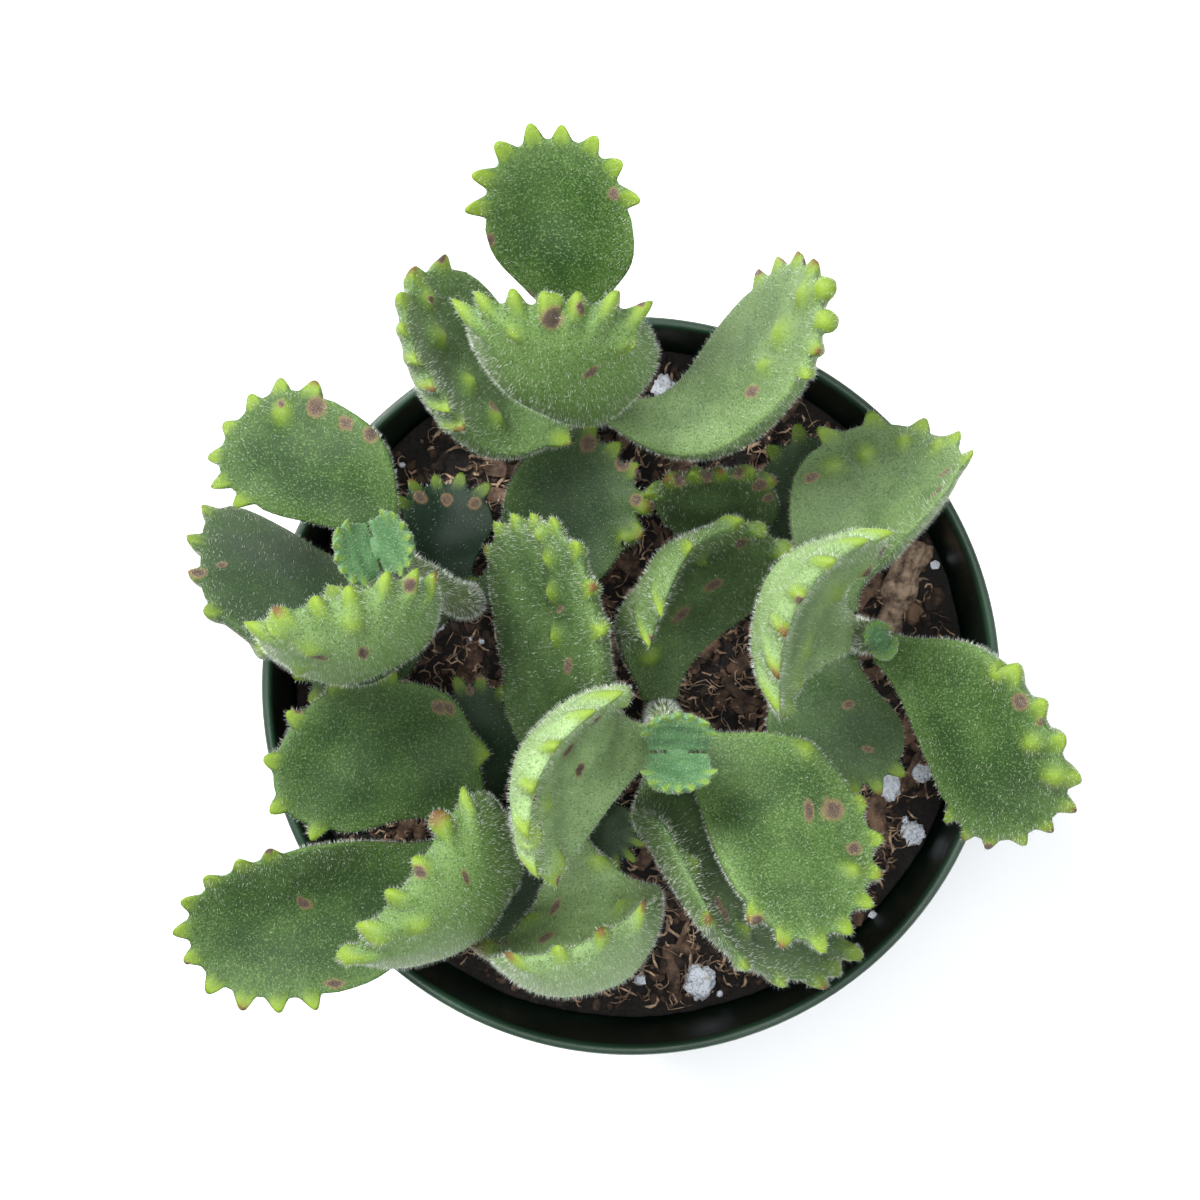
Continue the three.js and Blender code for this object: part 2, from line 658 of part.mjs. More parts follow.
// A grain of perlite, or with some extra all round the dent that it lies in.
function grainGeometry({ at: [x, y], size: [a, b, c] }, seed, extra = 0) {
  const random = seededRandom(seed);
  const ball = new THREE.IcosahedronGeometry(0.5, 0);
  const grain = mergeVertices(ball.deleteAttribute('uv').deleteAttribute('normal'));
  const corner = new THREE.Vector3();
  const spots = grain.attributes.position;
  for (let i = 0; i < spots.count; i += 1) {
    corner.fromBufferAttribute(spots, i).multiplyScalar(mix(...GRAIN_SWELL, random()));
    spots.setXYZ(i, corner.x, corner.y, corner.z);
  }
  grain.scale(a + 2 * extra, b + 2 * extra, c + 2 * extra);
  return grain.translate(x, y, soilHeight(x, y) + GRAIN_LIFT * c);
}

// The dried stem, or with some extra all round the dent that it lies in.
function driedGeometry(extra = 0) {
  const [from, to] = [new THREE.Vector2(...DRIED.from), new THREE.Vector2(...DRIED.to)];
  const rings = [];
  for (let s = 0; s <= DRIED.steps; s += 1) {
    const share = s / DRIED.steps;
    const past = extra / from.distanceTo(to);
    const spot = from.clone().lerp(to, mix(-past, 1 + past, share));
    const half = mix(...DRIED.half, share) + DRIED.knots * Math.sin(DRIED.knotStep * s) + extra;
    const lie = soilHeight(spot.x, spot.y) + DRIED.lift;
    rings.push(Array.from({ length: STEM_SIDES }, (_, i) => {
      const angle = (i / STEM_SIDES) * FULL_TURN;
      const out = half * Math.cos(angle);
      const high = (half - extra) * DRIED.flat + extra;
      return new THREE.Vector3(spot.x + out, spot.y - DRIED.slant * out, lie + high * Math.sin(angle));
    }));
  }
  return ringSkin(rings);
}

const plant = new THREE.Group();

function addPiece(name, geometry, material) {
  const mesh = new THREE.Mesh(geometry, material.clone());
  mesh.name = name;
  plant.add(mesh);
}

const pockets = Object.values(SHOOTS).map((shoot) => stemGeometry(shoot, GAP));
Object.values(PERLITE).forEach((grain, i) => {
  pockets.push(grainGeometry(grain, GRAIN_SEED + i, GAP));
});
pockets.push(driedGeometry(GAP));

addPiece('pot', potGeometry(), FINISHES.pot);
addPiece('soil', soilGeometry(pockets), FINISHES.soil);
Object.entries(SHOOTS).forEach(([name, shoot]) => {
  addPiece(`${name}_stem`, stemGeometry(shoot), FINISHES.stem);
});
Object.entries(LEAVES).forEach(([name, leaf]) => {
  addPiece(name, leafOnShoot(leaf), FINISHES.leaf);
});
Object.entries(BUDS).forEach(([name, bud]) => {
  addPiece(name, budGeometry(bud), FINISHES.bud);
});
Object.entries(PERLITE).forEach(([name, grain], i) => {
  addPiece(name, grainGeometry(grain, GRAIN_SEED + i), FINISHES.perlite);
});
addPiece('dried_stem', driedGeometry(), FINISHES.dried);

export default plant;
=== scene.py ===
# %% [markdown]
# # A potted bear's paw in Blender
#
# This lesson builds the looks of a bear's paw succulent in its nursery pot. The plant has thick,
# boat-shaped leaves: nearly flat above, swollen below, covered in short white hairs and edged
# with blunt yellow-green teeth at the far end. The leaves stand on short stems in dark soil.
#
# The sizes come from a fixed frame that holds the plain solids of the same plant. Every piece
# here takes its place from the same numbers, in millimetres, and turns them into metres only
# when its mesh is made.

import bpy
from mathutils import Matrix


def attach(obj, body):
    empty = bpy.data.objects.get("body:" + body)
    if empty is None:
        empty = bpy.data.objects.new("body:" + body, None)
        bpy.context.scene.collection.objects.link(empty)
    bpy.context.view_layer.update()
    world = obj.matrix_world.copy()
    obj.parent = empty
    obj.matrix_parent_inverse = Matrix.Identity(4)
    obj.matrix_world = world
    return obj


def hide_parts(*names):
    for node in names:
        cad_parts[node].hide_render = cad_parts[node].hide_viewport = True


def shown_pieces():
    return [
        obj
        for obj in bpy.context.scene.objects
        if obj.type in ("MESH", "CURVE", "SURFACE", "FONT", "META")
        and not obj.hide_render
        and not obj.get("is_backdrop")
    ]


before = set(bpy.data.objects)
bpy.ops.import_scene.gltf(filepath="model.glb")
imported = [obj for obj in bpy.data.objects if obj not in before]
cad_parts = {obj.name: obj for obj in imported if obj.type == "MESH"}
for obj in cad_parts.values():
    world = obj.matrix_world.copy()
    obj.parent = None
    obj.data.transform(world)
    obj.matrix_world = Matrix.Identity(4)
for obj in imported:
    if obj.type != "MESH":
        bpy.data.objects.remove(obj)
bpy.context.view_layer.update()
print("nodes in the frame:", len(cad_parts))

# %% [markdown]
# ## Small tools
#
# Blender takes a mesh as lists of corners and faces. Working the corners out with numpy, whole
# arrays at a time, keeps the script quick, which matters here because the hairs alone are more
# than a hundred thousand needles. All random draws come from seeded generators, so the plant is
# the same on every run. Many pieces are rings of corners laid end to end and closed by one corner
# at each end, so one helper makes the faces of them all.

# %% Tools for meshes
import math

import bpy
import numpy as np
from mathutils import Vector, noise

MM = 0.001


def smooth(t, low, high):
    s = np.clip((np.asarray(t, float) - low) / (high - low), 0, 1)
    return s * s * (3 - 2 * s)


def mix(a, b, t):
    return a + (b - a) * t


def unit(v):
    return v / np.maximum(np.linalg.norm(v, axis=-1, keepdims=True), 1e-9)


def new_piece(name, points, faces, material, replaces=None, soft=True):
    mesh = bpy.data.meshes.new(name)
    points = np.asarray(points, np.float32) * MM
    sides = len(faces[0])
    faces = np.asarray(faces, np.int32)
    mesh.vertices.add(len(points))
    mesh.vertices.foreach_set("co", points.ravel())
    mesh.loops.add(faces.size)
    mesh.loops.foreach_set("vertex_index", faces.ravel())
    mesh.polygons.add(len(faces))
    mesh.polygons.foreach_set("loop_start", np.arange(0, faces.size, sides, dtype=np.int32))
    mesh.polygons.foreach_set("use_smooth", np.full(len(faces), soft))
    mesh.update(calc_edges=True)
    piece = bpy.data.objects.new(name, mesh)
    bpy.context.scene.collection.objects.link(piece)
    for m in material if isinstance(material, list) else [material]:
        mesh.materials.append(m)
    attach(piece, "root")
    if replaces:
        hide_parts(replaces)
    return piece


def ring_faces(rings, sides):
    here = np.arange(sides)
    after = (here + 1) % sides
    faces, last = [], (rings - 1) * sides
    for start in range(0, last, sides):
        a, b = start + here, start + after
        faces += [np.stack([a, b, b + sides], 1), np.stack([a, b + sides, a + sides], 1)]
    faces.append(np.stack([0 * here + last + sides, after, here], 1))
    faces.append(np.stack([0 * here + last + sides + 1, last + here, last + after], 1))
    return np.vstack(faces)


def give_values(piece, name, values):
    layer = piece.data.attributes.new(name, "FLOAT", "POINT")
    layer.data.foreach_set("value", np.asarray(values, np.float32))


def waves(points, scale, seed, octaves=3):
    shift = Vector((seed * 7.3, seed * 3.1, seed * 5.7))
    return np.array([
        noise.fractal(Vector(p) / scale + shift, 0.8, 2.1, octaves) for p in points
    ])


# %% [markdown]
# ## Numbers of the plant
#
# A shoot is a stem that leaves the soil at its foot and bows a little on its way to its top. A
# leaf is one line of numbers: the stem that it grows on and how high, where it heads, how far it
# turns and rolls, how steeply it rises at its foot and tip, its length, width and thickness, how
# deep it is dished, and its teeth. Some also lean to one side (skew), end squarer than the rest
# (tip), stand further off their stem (clear) or have larger teeth. They are the numbers that the
# plain solids were made of, so a fine leaf lies where its plain one is. Two more change its skin
# alone: painted shade darkens a leaf that lies in the shadow of others and also thins its hairs,
# and bloom makes it pale.

# %% Shoots, leaves and growing tips
SHOOTS = {
    "north": dict(foot=(-4.5, 41), top=(-8, 47, 118), bow=(0.5, -2.5)),
    "west": dict(foot=(-24, 12.5), top=(-35, 19.5, 121), bow=(4, -3)),
    "centre": dict(foot=(5, -5), top=(6, -8, 122), bow=(-1, 2)),
    "east": dict(foot=(30, 9), top=(34, 7, 113), bow=(-1, 0)),
    "southwest": dict(foot=(-20, -21), top=(-21.5, -22.5, 102), bow=(1, 1)),
    "south": dict(foot=(-10, -19), top=(-10, -17.5, 96), bow=(-1, 0)),
    "middle": dict(foot=(16, 14), top=(15.5, 15.5, 84), bow=(0, 0)),
}
LEAVES = {
    "north_leaf_1": dict(z=113.5, az=96, turn=-5, rise=(30, 23), roll=5, size=(29.5, 20, 6.5),
        cup=4.5, teeth=(8, 0.3, 0.72), skew=-0.1, tooth_scale=1.15),
    "north_leaf_2": dict(z=112.5, az=-96, turn=11, rise=(78, 128), roll=8, size=(35, 24.5, 7),
        cup=2.5, teeth=(7, 0.34, 0.65), skew=0.1, tip=3.2, tooth_scale=1.35, pale=0.1),
    "north_leaf_3": dict(z=95, az=209, turn=-82, rise=(8, 44), roll=-47, size=(35.5, 21.5, 7),
        cup=3.5, teeth=(8, 0.38, 0.8), deep=0.05, pale=0.2),
    "north_leaf_4": dict(z=94, az=-27, turn=78, rise=(8, 49), roll=49, size=(43.5, 20.5, 7),
        cup=0.5, teeth=(8, 0.35, 0.68), skew=0.1, pale=0.6),
    "west_leaf_1": dict(z=113.5, az=121, turn=7, rise=(26, -32), roll=13, size=(30, 19.5, 6.5),
        cup=0, teeth=(7, 0.32, 0.75), skew=-0.3, deep=0.1),
    "west_leaf_2": dict(z=99, az=208, turn=-40, rise=(28, 14), roll=-53, size=(35, 29, 7), cup=0,
        teeth=(5, 0.35, 0.74), skew=0.3, tip=3.2, clear=0.3, deep=0.5),
    "west_leaf_3": dict(z=112, az=-130, turn=47, rise=(44, 128), roll=-12, size=(34.5, 24, 7.5),
        cup=2.5, teeth=(7, 0.34, 0.7), skew=0.1, tip=3.2, pale=0.35),
    "west_leaf_4": dict(z=80.5, az=28, turn=15, rise=(10, 14), roll=-10, size=(29, 20, 6.5),
        cup=2.5, teeth=(6, 0.31, 0.64), skew=-0.2, tip=3.2, deep=0.4, pale=0.1),
    "west_leaf_5": dict(z=76.5, az=108, turn=-7, rise=(16, -14), roll=-17, size=(15.5, 13.5, 5.5),
        cup=2, teeth=(5, 0.3, 0.7), skew=-0.05, deep=0.92),
    "west_leaf_6": dict(z=79, az=203, turn=8, rise=(15, 5), size=(24, 13, 6), cup=2,
        teeth=(6, 0.3, 0.7), deep=0.3, pale=0.4),
    "southwest_leaf_1": dict(z=94, az=128, turn=15, rise=(7, 26), roll=-6, size=(31.5, 25, 6.5),
        cup=2.5, teeth=(6, 0.28, 0.77), skew=-0.25, deep=0.2),
    "southwest_leaf_2": dict(z=89, az=214, turn=-11, rise=(21, 10), roll=18, size=(45, 22.5, 6.5),
        cup=4, teeth=(10, 0.28, 0.7), skew=0.2, deep=0.1, pale=0.05),
    "southwest_leaf_3": dict(z=97, az=-131, turn=92, rise=(50, 139), roll=-4, size=(32, 28.5, 7),
        cup=4.5, teeth=(6, 0.31, 0.68), skew=0.05, tip=3.2, pale=0.15),
    "southwest_leaf_4": dict(z=78.5, az=100, rise=(30, 10), size=(20, 11, 5.5), cup=2,
        teeth=(6, 0.3, 0.7), deep=0.8, pale=0.1),
    "south_leaf_1": dict(z=91.5, az=89, turn=13, rise=(21, 8), roll=61, size=(40.5, 29, 7), cup=0,
        teeth=(8, 0.25, 0.66), skew=0.1, tip=3.2, deep=0.1, pale=0.2),
    "south_leaf_2": dict(z=90, az=-74, turn=3, rise=(15, 121), size=(42, 24.5, 7), cup=4.5,
        teeth=(4, 0.39, 0.63), skew=0.1, tip=3.2, clear=0.3, pale=0.7),
    "south_leaf_3": dict(z=77, az=-112, turn=-14, rise=(8, -2), size=(20, 12, 5.5), cup=2,
        teeth=(7, 0.3, 0.7), deep=0.5, pale=0.2),
    "south_leaf_4": dict(z=78, az=-22, rise=(20, 0), size=(10, 8.5, 5), cup=1, teeth=(5, 0.3, 0.7),
        deep=0.8, pale=0.3),
    "centre_leaf_1": dict(z=112, az=193, turn=-15, rise=(39, 86), roll=18, size=(32.5, 24.5, 7.5),
        cup=4.5, teeth=(7, 0.28, 0.73), skew=-0.15, tip=3.2, pale=1.25),
    "centre_leaf_2": dict(z=109, az=-33, turn=4, rise=(18, 6), roll=34, size=(32.5, 26, 6.5),
        cup=0.5, teeth=(8, 0.25, 0.7), skew=0.3, pale=0.1),
    "centre_leaf_3": dict(z=95, az=-71, turn=6, rise=(26, 33), roll=60, size=(40.5, 33, 7), cup=3.5,
        teeth=(5, 0.31, 0.69), skew=-0.05, tip=3.2, deep=0.3, pale=0.3),
    "centre_leaf_4": dict(z=90, az=96, turn=-36, rise=(10, 51), roll=-62, size=(32, 25, 7), cup=5.5,
        teeth=(5, 0.29, 0.83), skew=-0.1, tip=3.2, deep=0.1, pale=0.3),
    "east_leaf_1": dict(z=108, az=170, turn=-22, rise=(50, 92), size=(33, 26.5, 7.5), cup=5,
        teeth=(7, 0.29, 0.7), skew=0.05, pale=0.9),
    "east_leaf_2": dict(z=105.5, az=-32, turn=-10, rise=(39, -14), roll=-39, size=(36.5, 23, 6.5),
        cup=0, teeth=(10, 0.27, 0.8), skew=0.3, pale=0.05),
    "east_leaf_3": dict(z=93.5, az=-104, turn=6, rise=(20, 0), roll=6, size=(20, 20, 6.5), cup=1.5,
        teeth=(7, 0.3, 0.7), skew=-0.05, deep=0.45, pale=0.1),
    "east_leaf_4": dict(z=92, az=103, turn=-44, rise=(6, -9), roll=37, size=(30.5, 22.5, 6.5),
        cup=6, teeth=(5, 0.35, 0.72), skew=0.2, pale=0.5),
    "middle_leaf_1": dict(z=79, az=101, rise=(37, 61), roll=6, size=(20, 17.5, 6), cup=0,
        teeth=(6, 0.3, 0.7), skew=-0.1, tip=3.2, deep=0.4, pale=0.3),
    "middle_leaf_2": dict(z=75.5, az=58, rise=(12, 0), size=(23, 12, 6), cup=2, teeth=(5, 0.3, 0.7),
        deep=0.65, pale=0.4),
}
BUDS = {
    "west_bud": dict(on="west", az=197, size=(6.5, 8.2, 2.2)),
    "centre_bud": dict(on="centre", az=90, size=(6.5, 9, 2.2)),
    "east_bud": dict(on="east", az=120, size=(3.5, 3.6, 1.2)),
}
YOUNG_LEAF = dict(rise=(32, 58), cup=1, teeth=(7, 0.16, 0.84), base=0.92, tip=2.2)
print(len(LEAVES), "leaves on", len(SHOOTS), "shoots, with", len(BUDS), "growing tips")

# %% [markdown]
# ## Marks on the leaves
#
# Old leaves carry small crusty scars where they were bumped or bitten, and the outer face of a
# leaf has soft yellow-green bumps below its teeth. Each mark is written down as the place where
# the eye sees it from above and a radius, in the units of the view: 7 of them are about a
# millimetre. Later each mark is moved onto the nearest point of its own leaf, so that it sits on
# the skin and can be seen from any side.

# %% Where the marks are
SCARS = {
    "north_leaf_1": [(482, 241, 7), (520, 300, 4), (612, 196, 8)],
    "north_leaf_2": [(553, 316, 14), (580, 308, 8), (596, 370, 7), (640, 292, 6)],
    "north_leaf_3": [(438, 255, 8), (425, 300, 4), (492, 410, 5)],
    "north_leaf_4": [(750, 394, 9), (757, 265, 8), (788, 258, 8), (803, 262, 5)],
    "west_leaf_1": [(318, 408, 12), (344, 418, 8), (369, 431, 9), (283, 407, 5)],
    "west_leaf_2": [(200, 572, 9), (222, 565, 5)],
    "west_leaf_3": [(362, 650, 7), (320, 655, 5), (412, 588, 9)],
    "west_leaf_4": [(562, 430, 8), (590, 443, 10), (624, 460, 9), (645, 480, 6), (638, 500, 7)],
    "west_leaf_5": [(421, 497, 8), (447, 501, 7), (475, 503, 7)],
    "southwest_leaf_1": [(433, 707, 8), (452, 710, 6), (300, 705, 5)],
    "southwest_leaf_2": [(267, 845, 7), (337, 980, 6), (186, 965, 4), (300, 900, 4)],
    "southwest_leaf_3": [(420, 873, 9), (470, 880, 4)],
    "southwest_leaf_4": [(480, 665, 7), (470, 690, 5)],
    "south_leaf_1": [(565, 668, 9), (560, 610, 4)],
    "south_leaf_2": [(553, 903, 5), (505, 948, 5), (545, 940, 4)],
    "centre_leaf_1": [(597, 722, 8), (570, 752, 11), (577, 768, 9), (535, 798, 8), (560, 880, 6)],
    "centre_leaf_2": [(833, 808, 13), (850, 848, 9), (757, 921, 9), (811, 806, 7)],
    "centre_leaf_3": [(725, 912, 10), (717, 905, 6)],
    "centre_leaf_4": [(740, 543, 9), (710, 582, 8), (680, 618, 12), (655, 640, 5)],
    "east_leaf_1": [(890, 553, 9), (867, 568, 7), (800, 600, 8), (905, 590, 4)],
    "east_leaf_2": [(1018, 703, 10), (988, 853, 7), (1040, 720, 5)],
    "east_leaf_3": [(846, 705, 5), (870, 750, 4)],
    "east_leaf_4": [(810, 480, 7), (962, 480, 6), (942, 472, 6), (935, 490, 5)],
    "middle_leaf_1": [(678, 478, 9), (706, 475, 8), (740, 472, 8), (760, 485, 9), (768, 498, 7)],
}
BUMPS = {
    "north_leaf_2": [(630, 345, 9), (515, 330, 9), (560, 296, 8)],
    "north_leaf_3": [(427, 298, 10), (440, 338, 11), (467, 385, 10), (491, 418, 9)],
    "north_leaf_4": [(828, 285, 11), (803, 297, 13), (778, 333, 14), (845, 320, 10), (765, 365, 9)],
    "west_leaf_1": [(283, 410, 11)],
    "west_leaf_3": [(277, 628, 12), (312, 650, 11), (352, 622, 11), (300, 668, 8), (388, 605, 9)],
    "west_leaf_4": [(628, 540, 9), (645, 512, 8)],
    "southwest_leaf_3": [(440, 820, 11), (418, 925, 11), (378, 938, 11), (345, 950, 10)],
    "south_leaf_1": [(547, 560, 9), (553, 592, 9), (560, 637, 10), (543, 535, 8)],
    "south_leaf_2": [(600, 870, 9), (625, 905, 8), (530, 925, 8), (480, 950, 8)],
    "centre_leaf_1": [(620, 700, 10), (533, 837, 13), (555, 862, 12), (545, 805, 10)],
    "centre_leaf_2": [(808, 752, 10), (850, 870, 9)],
    "centre_leaf_3": [(692, 870, 11), (855, 955, 8), (838, 968, 9), (740, 935, 9)],
    "centre_leaf_4": [(783, 553, 9), (648, 655, 10), (760, 530, 8), (700, 560, 7)],
    "east_leaf_1": [(838, 590, 14), (802, 645, 14), (798, 680, 12), (785, 712, 11), (868, 575, 9)],
    "east_leaf_2": [(998, 671, 9), (1035, 740, 10), (1052, 777, 12)],
    "east_leaf_4": [(830, 464, 10), (868, 455, 9), (905, 445, 8), (940, 445, 9)],
}
EYE = (-4.53, 12.53, 586)
EYE_SCALE = 3425
MIDDLE = 600


def seen_at(points):
    away = EYE_SCALE / (EYE[2] - points[:, 2])
    return MIDDLE + (points[:, 0] - EYE[0]) * away, MIDDLE - (points[:, 1] - EYE[1]) * away


print(sum(map(len, SCARS.values())), "scars and", sum(map(len, BUMPS.values())), "bumps")

# %% [markdown]
# ## Finishes: a kit of nodes
#
# Every finish is one Principled shader whose colour, roughness and bump come from procedural
# textures. Making and wiring nodes by name gets long, so a few helpers do it: they add a node, join
# two sockets, mix two colours, do a sum and spread out a range. A mix could also be a colour ramp,
# but a mix takes its two colours as plain numbers, which is easier to read and to change.

# %% Helpers for nodes
def add(tree, kind, **values):
    node = tree.nodes.new("ShaderNode" + kind)
    for key, value in values.items():
        if key in node.inputs:
            node.inputs[key].default_value = value
        else:
            setattr(node, key, value)
    return node


def put(tree, source, target):
    if isinstance(source, bpy.types.NodeSocket):
        tree.links.new(source, target)
    else:
        target.default_value = (*source, 1) if isinstance(source, tuple) else source


def mixed(tree, share, first, second):
    node = add(tree, "Mix", data_type="RGBA", clamp_factor=True)
    put(tree, share, node.inputs[0])
    put(tree, first, node.inputs[6])
    put(tree, second, node.inputs[7])
    return node.outputs[2]


def sums(tree, how, first, second):
    node = add(tree, "Math", operation=how)
    put(tree, first, node.inputs[0])
    put(tree, second, node.inputs[1])
    return node.outputs[0]


def times(tree, first, second):
    return sums(tree, "MULTIPLY", first, second)


def spread(tree, value, low, high, out_low=0.0, out_high=1.0):
    node = add(tree, "MapRange", interpolation_type="SMOOTHSTEP")
    put(tree, value, node.inputs["Value"])
    for key, number in zip(("From Min", "From Max", "To Min", "To Max"), (low, high, out_low, out_high)):
        node.inputs[key].default_value = number
    return node.outputs["Result"]


def new_finish(name, **constants):
    material = bpy.data.materials.new(name)
    material.use_nodes = True
    shader = material.node_tree.nodes["Principled BSDF"]
    for key, value in constants.items():
        shader.inputs[key.replace("_", " ")].default_value = value
    return material, material.node_tree, shader


# %% [markdown]
# ## Grain: one effect for many finishes
#
# Leaf skin, plastic, soil and bark all need the same thing at different scales: patches that
# vary slowly, and a fine grain on top. One node group makes both from two noise textures. The
# patches mix colours, and the grain drives roughness and bump. The group works in the object's
# own space, so the grain has one true size all over the plant.

# %% The grain group
def grain_group():
    group = bpy.data.node_groups.new("patches and grain", "ShaderNodeTree")
    for name, value in (("Patch Scale", 100.0), ("Grain Scale", 900.0), ("Stretch", 1.0)):
        socket = group.interface.new_socket(name, in_out="INPUT", socket_type="NodeSocketFloat")
        socket.default_value = value
    for name in ("Patches", "Grain"):
        group.interface.new_socket(name, in_out="OUTPUT", socket_type="NodeSocketFloat")
    entry = group.nodes.new("NodeGroupInput")
    result = group.nodes.new("NodeGroupOutput")
    place = add(group, "TexCoord")
    scale = add(group, "CombineXYZ", X=1.0, Y=1.0)
    group.links.new(entry.outputs["Stretch"], scale.inputs["Z"])
    stretched = add(group, "VectorMath", operation="MULTIPLY")
    group.links.new(place.outputs["Object"], stretched.inputs[0])
    group.links.new(scale.outputs[0], stretched.inputs[1])
    for kind, detail in (("Patch", 3.0), ("Grain", 5.0)):
        texture = add(group, "TexNoise", Detail=detail, Roughness=0.6)
        group.links.new(stretched.outputs[0], texture.inputs["Vector"])
        group.links.new(entry.outputs[kind + " Scale"], texture.inputs["Scale"])
        output = "Patches" if kind == "Patch" else "Grain"
        group.links.new(texture.outputs["Fac"], result.inputs[output])
    return group


GRAIN = grain_group()


def grain(tree, patch, fine, stretch=1.0):
    node = tree.nodes.new("ShaderNodeGroup")
    node.node_tree = GRAIN
    node.inputs["Patch Scale"].default_value = patch
    node.inputs["Grain Scale"].default_value = fine
    node.inputs["Stretch"].default_value = stretch
    return node.outputs["Patches"], node.outputs["Grain"]


def bump(tree, height, shader, distance, strength=1.0):
    node = add(tree, "Bump", Strength=strength, Distance=distance)
    put(tree, height, node.inputs["Height"])
    put(tree, node.outputs["Normal"], shader.inputs["Normal"])


def measured(tree, name):
    node = add(tree, "Attribute", attribute_type="GEOMETRY", attribute_name=name)
    return node.outputs["Fac"]


print("grain group has", len(GRAIN.nodes), "nodes")

# %% [markdown]
# ## Leaf skin
#
# The skin is a matt mid green, stippled dark and light by the feet of its hairs. It is paler on
# the swollen outer face, yellow-green on the teeth and bumps and brown at some tooth tips. Towards
# the edge it is paler too, partly because its hairs are denser there and partly as painted light:
# a broader, lighter rim stands in for light glowing through the thin edge. Low leaves get painted
# shade, darker and bluer, standing in for the shadow of the leaves above them. A scar is a dark
# crust with pale flecks and a tan rim. Where those zones lie is worked out with the mesh and stored
# on its corners as named values between 0 and 1, which the finish reads and mixes by. Painting an
# image would need an unwrapped leaf; values on the corners need nothing, and follow the leaf's own
# shape.

# %% The leaf finish
LEAF_GREEN = (0.014, 0.04, 0.007)
LEAF_LIGHT = (0.034, 0.076, 0.013)
LEAF_FLECK = (0.14, 0.22, 0.08)
LEAF_OUTER = (0.11, 0.195, 0.048)
LEAF_PALE = (0.3, 0.43, 0.19)
# Painted shade: the dark blue-green that shaded leaves are darkened towards.
LEAF_PAINTED_SHADE = (0.002, 0.011, 0.007)
TOOTH_YELLOW = (0.17, 0.26, 0.022)
TOOTH_BROWN = (0.12, 0.05, 0.02)
SCAR_RIM = (0.34, 0.21, 0.1)
SCAR_PALE = (0.42, 0.32, 0.24)
SCAR_DARK = (0.02, 0.01, 0.007)


def leaf_finish(name, green, light, outer):
    material, tree, shader = new_finish(name, Specular_IOR_Level=0.25)
    patches, fine = grain(tree, 140.0, 3300.0)
    skin = mixed(tree, spread(tree, patches, 0.35, 0.68), green, light)
    skin = mixed(tree, times(tree, measured(tree, "outer"), 0.85), skin, outer)
    # Partly painted light: towards the edge the skin is paler for its denser hairs, and a broader
    # lighter rim is painted for light glowing through the thin edge.
    skin = mixed(tree, times(tree, measured(tree, "edge"), 0.55), skin, outer)
    bloom = times(tree, measured(tree, "pale"), spread(tree, patches, 0.25, 0.7, 0.6, 1.1))
    skin = mixed(tree, bloom, skin, LEAF_PALE)
    skin = mixed(tree, times(tree, spread(tree, fine, 0.5, 0.38), 0.6), skin, green)
    skin = mixed(tree, times(tree, spread(tree, fine, 0.53, 0.64), 0.6), skin, LEAF_FLECK)
    skin = mixed(tree, measured(tree, "tooth"), skin, TOOTH_YELLOW)
    # Painted shade: the skin is darkened towards a dark blue-green where the leaf is marked as shaded,
    # less on the teeth.
    shade_kept = sums(tree, "SUBTRACT", 1.0, times(tree, measured(tree, "tooth"), 0.45))
    skin = mixed(tree, times(tree, measured(tree, "deep"), shade_kept), skin, LEAF_PAINTED_SHADE)
    skin = mixed(tree, measured(tree, "brown"), skin, TOOTH_BROWN)
    crust = measured(tree, "scar")
    cracks = add(tree, "TexNoise", Scale=1700.0, Detail=5.0)
    coast = add(tree, "TexNoise", Scale=800.0, Detail=3.0)
    ragged = sums(tree, "ADD", crust, times(tree, coast.outputs["Fac"], 1.1))
    rust = mixed(tree, spread(tree, cracks.outputs["Fac"], 0.5, 0.64), SCAR_DARK, SCAR_PALE)
    rust = mixed(tree, spread(tree, ragged, 0.93, 1.03), SCAR_RIM, rust)
    marked = spread(tree, crust, 0.06, 0.16)
    skin = mixed(tree, times(tree, marked, spread(tree, ragged, 0.86, 0.98)), skin, rust)
    put(tree, skin, shader.inputs["Base Color"])
    put(tree, spread(tree, fine, 0.3, 0.7, 0.42, 0.62), shader.inputs["Roughness"])
    height = sums(tree, "ADD", fine, times(tree, crust, cracks.outputs["Fac"]))
    bump(tree, height, shader, 0.00025, 0.6)
    return material


LEAF = leaf_finish("leaf_skin", LEAF_GREEN, LEAF_LIGHT, LEAF_OUTER)
YOUNG = leaf_finish("young_leaf_skin", (0.04, 0.11, 0.045), (0.075, 0.16, 0.07), (0.11, 0.22, 0.1))
STEM = leaf_finish("stem_skin", (0.1, 0.14, 0.06), (0.17, 0.2, 0.1), (0.16, 0.15, 0.1))
print("leaf finishes:", LEAF.name, YOUNG.name, STEM.name)

# %% [markdown]
# ## Hair finishes
#
# A hair is a hollow white bristle, thinner than the eye can pick out, so no grain would show on
# it. What does show is that hairs differ: most are clear white, some are cream and some have
# gone grey. Three plain finishes, dealt out at random, give that mix for nothing.

# %% Three hair finishes
HAIRS = []
for hair_name, colour, rough in (
    ("hair_white", (0.86, 0.9, 0.85), 0.4),
    ("hair_cream", (0.5, 0.58, 0.4), 0.5),
    ("hair_grey", (0.3, 0.38, 0.27), 0.5),
):
    hair, _, hair_shader = new_finish(hair_name, Roughness=rough)
    hair_shader.inputs["Base Color"].default_value = (*colour, 1)
    HAIRS.append(hair)
print("hair finishes:", len(HAIRS))

# %% [markdown]
# ## The line of a stem
#
# A stem is drawn by four points: deep in the soil, at its surface, halfway with its bow, and at
# the top. A curve object could be bevelled into a tube, but the leaves must know exactly where
# the stem is at their height, so the curve is worked out here: a smooth spline that passes
# through all four points without overshooting.

# %% Stem lines
SOIL_LEVEL = 69.5
SOIL_MOUND = 2
COLLAR_RADIUS = 51.8
ROOT_DEPTH = 16
STEM_RADIUS = 2.7
STEM_TAPER = 0.75


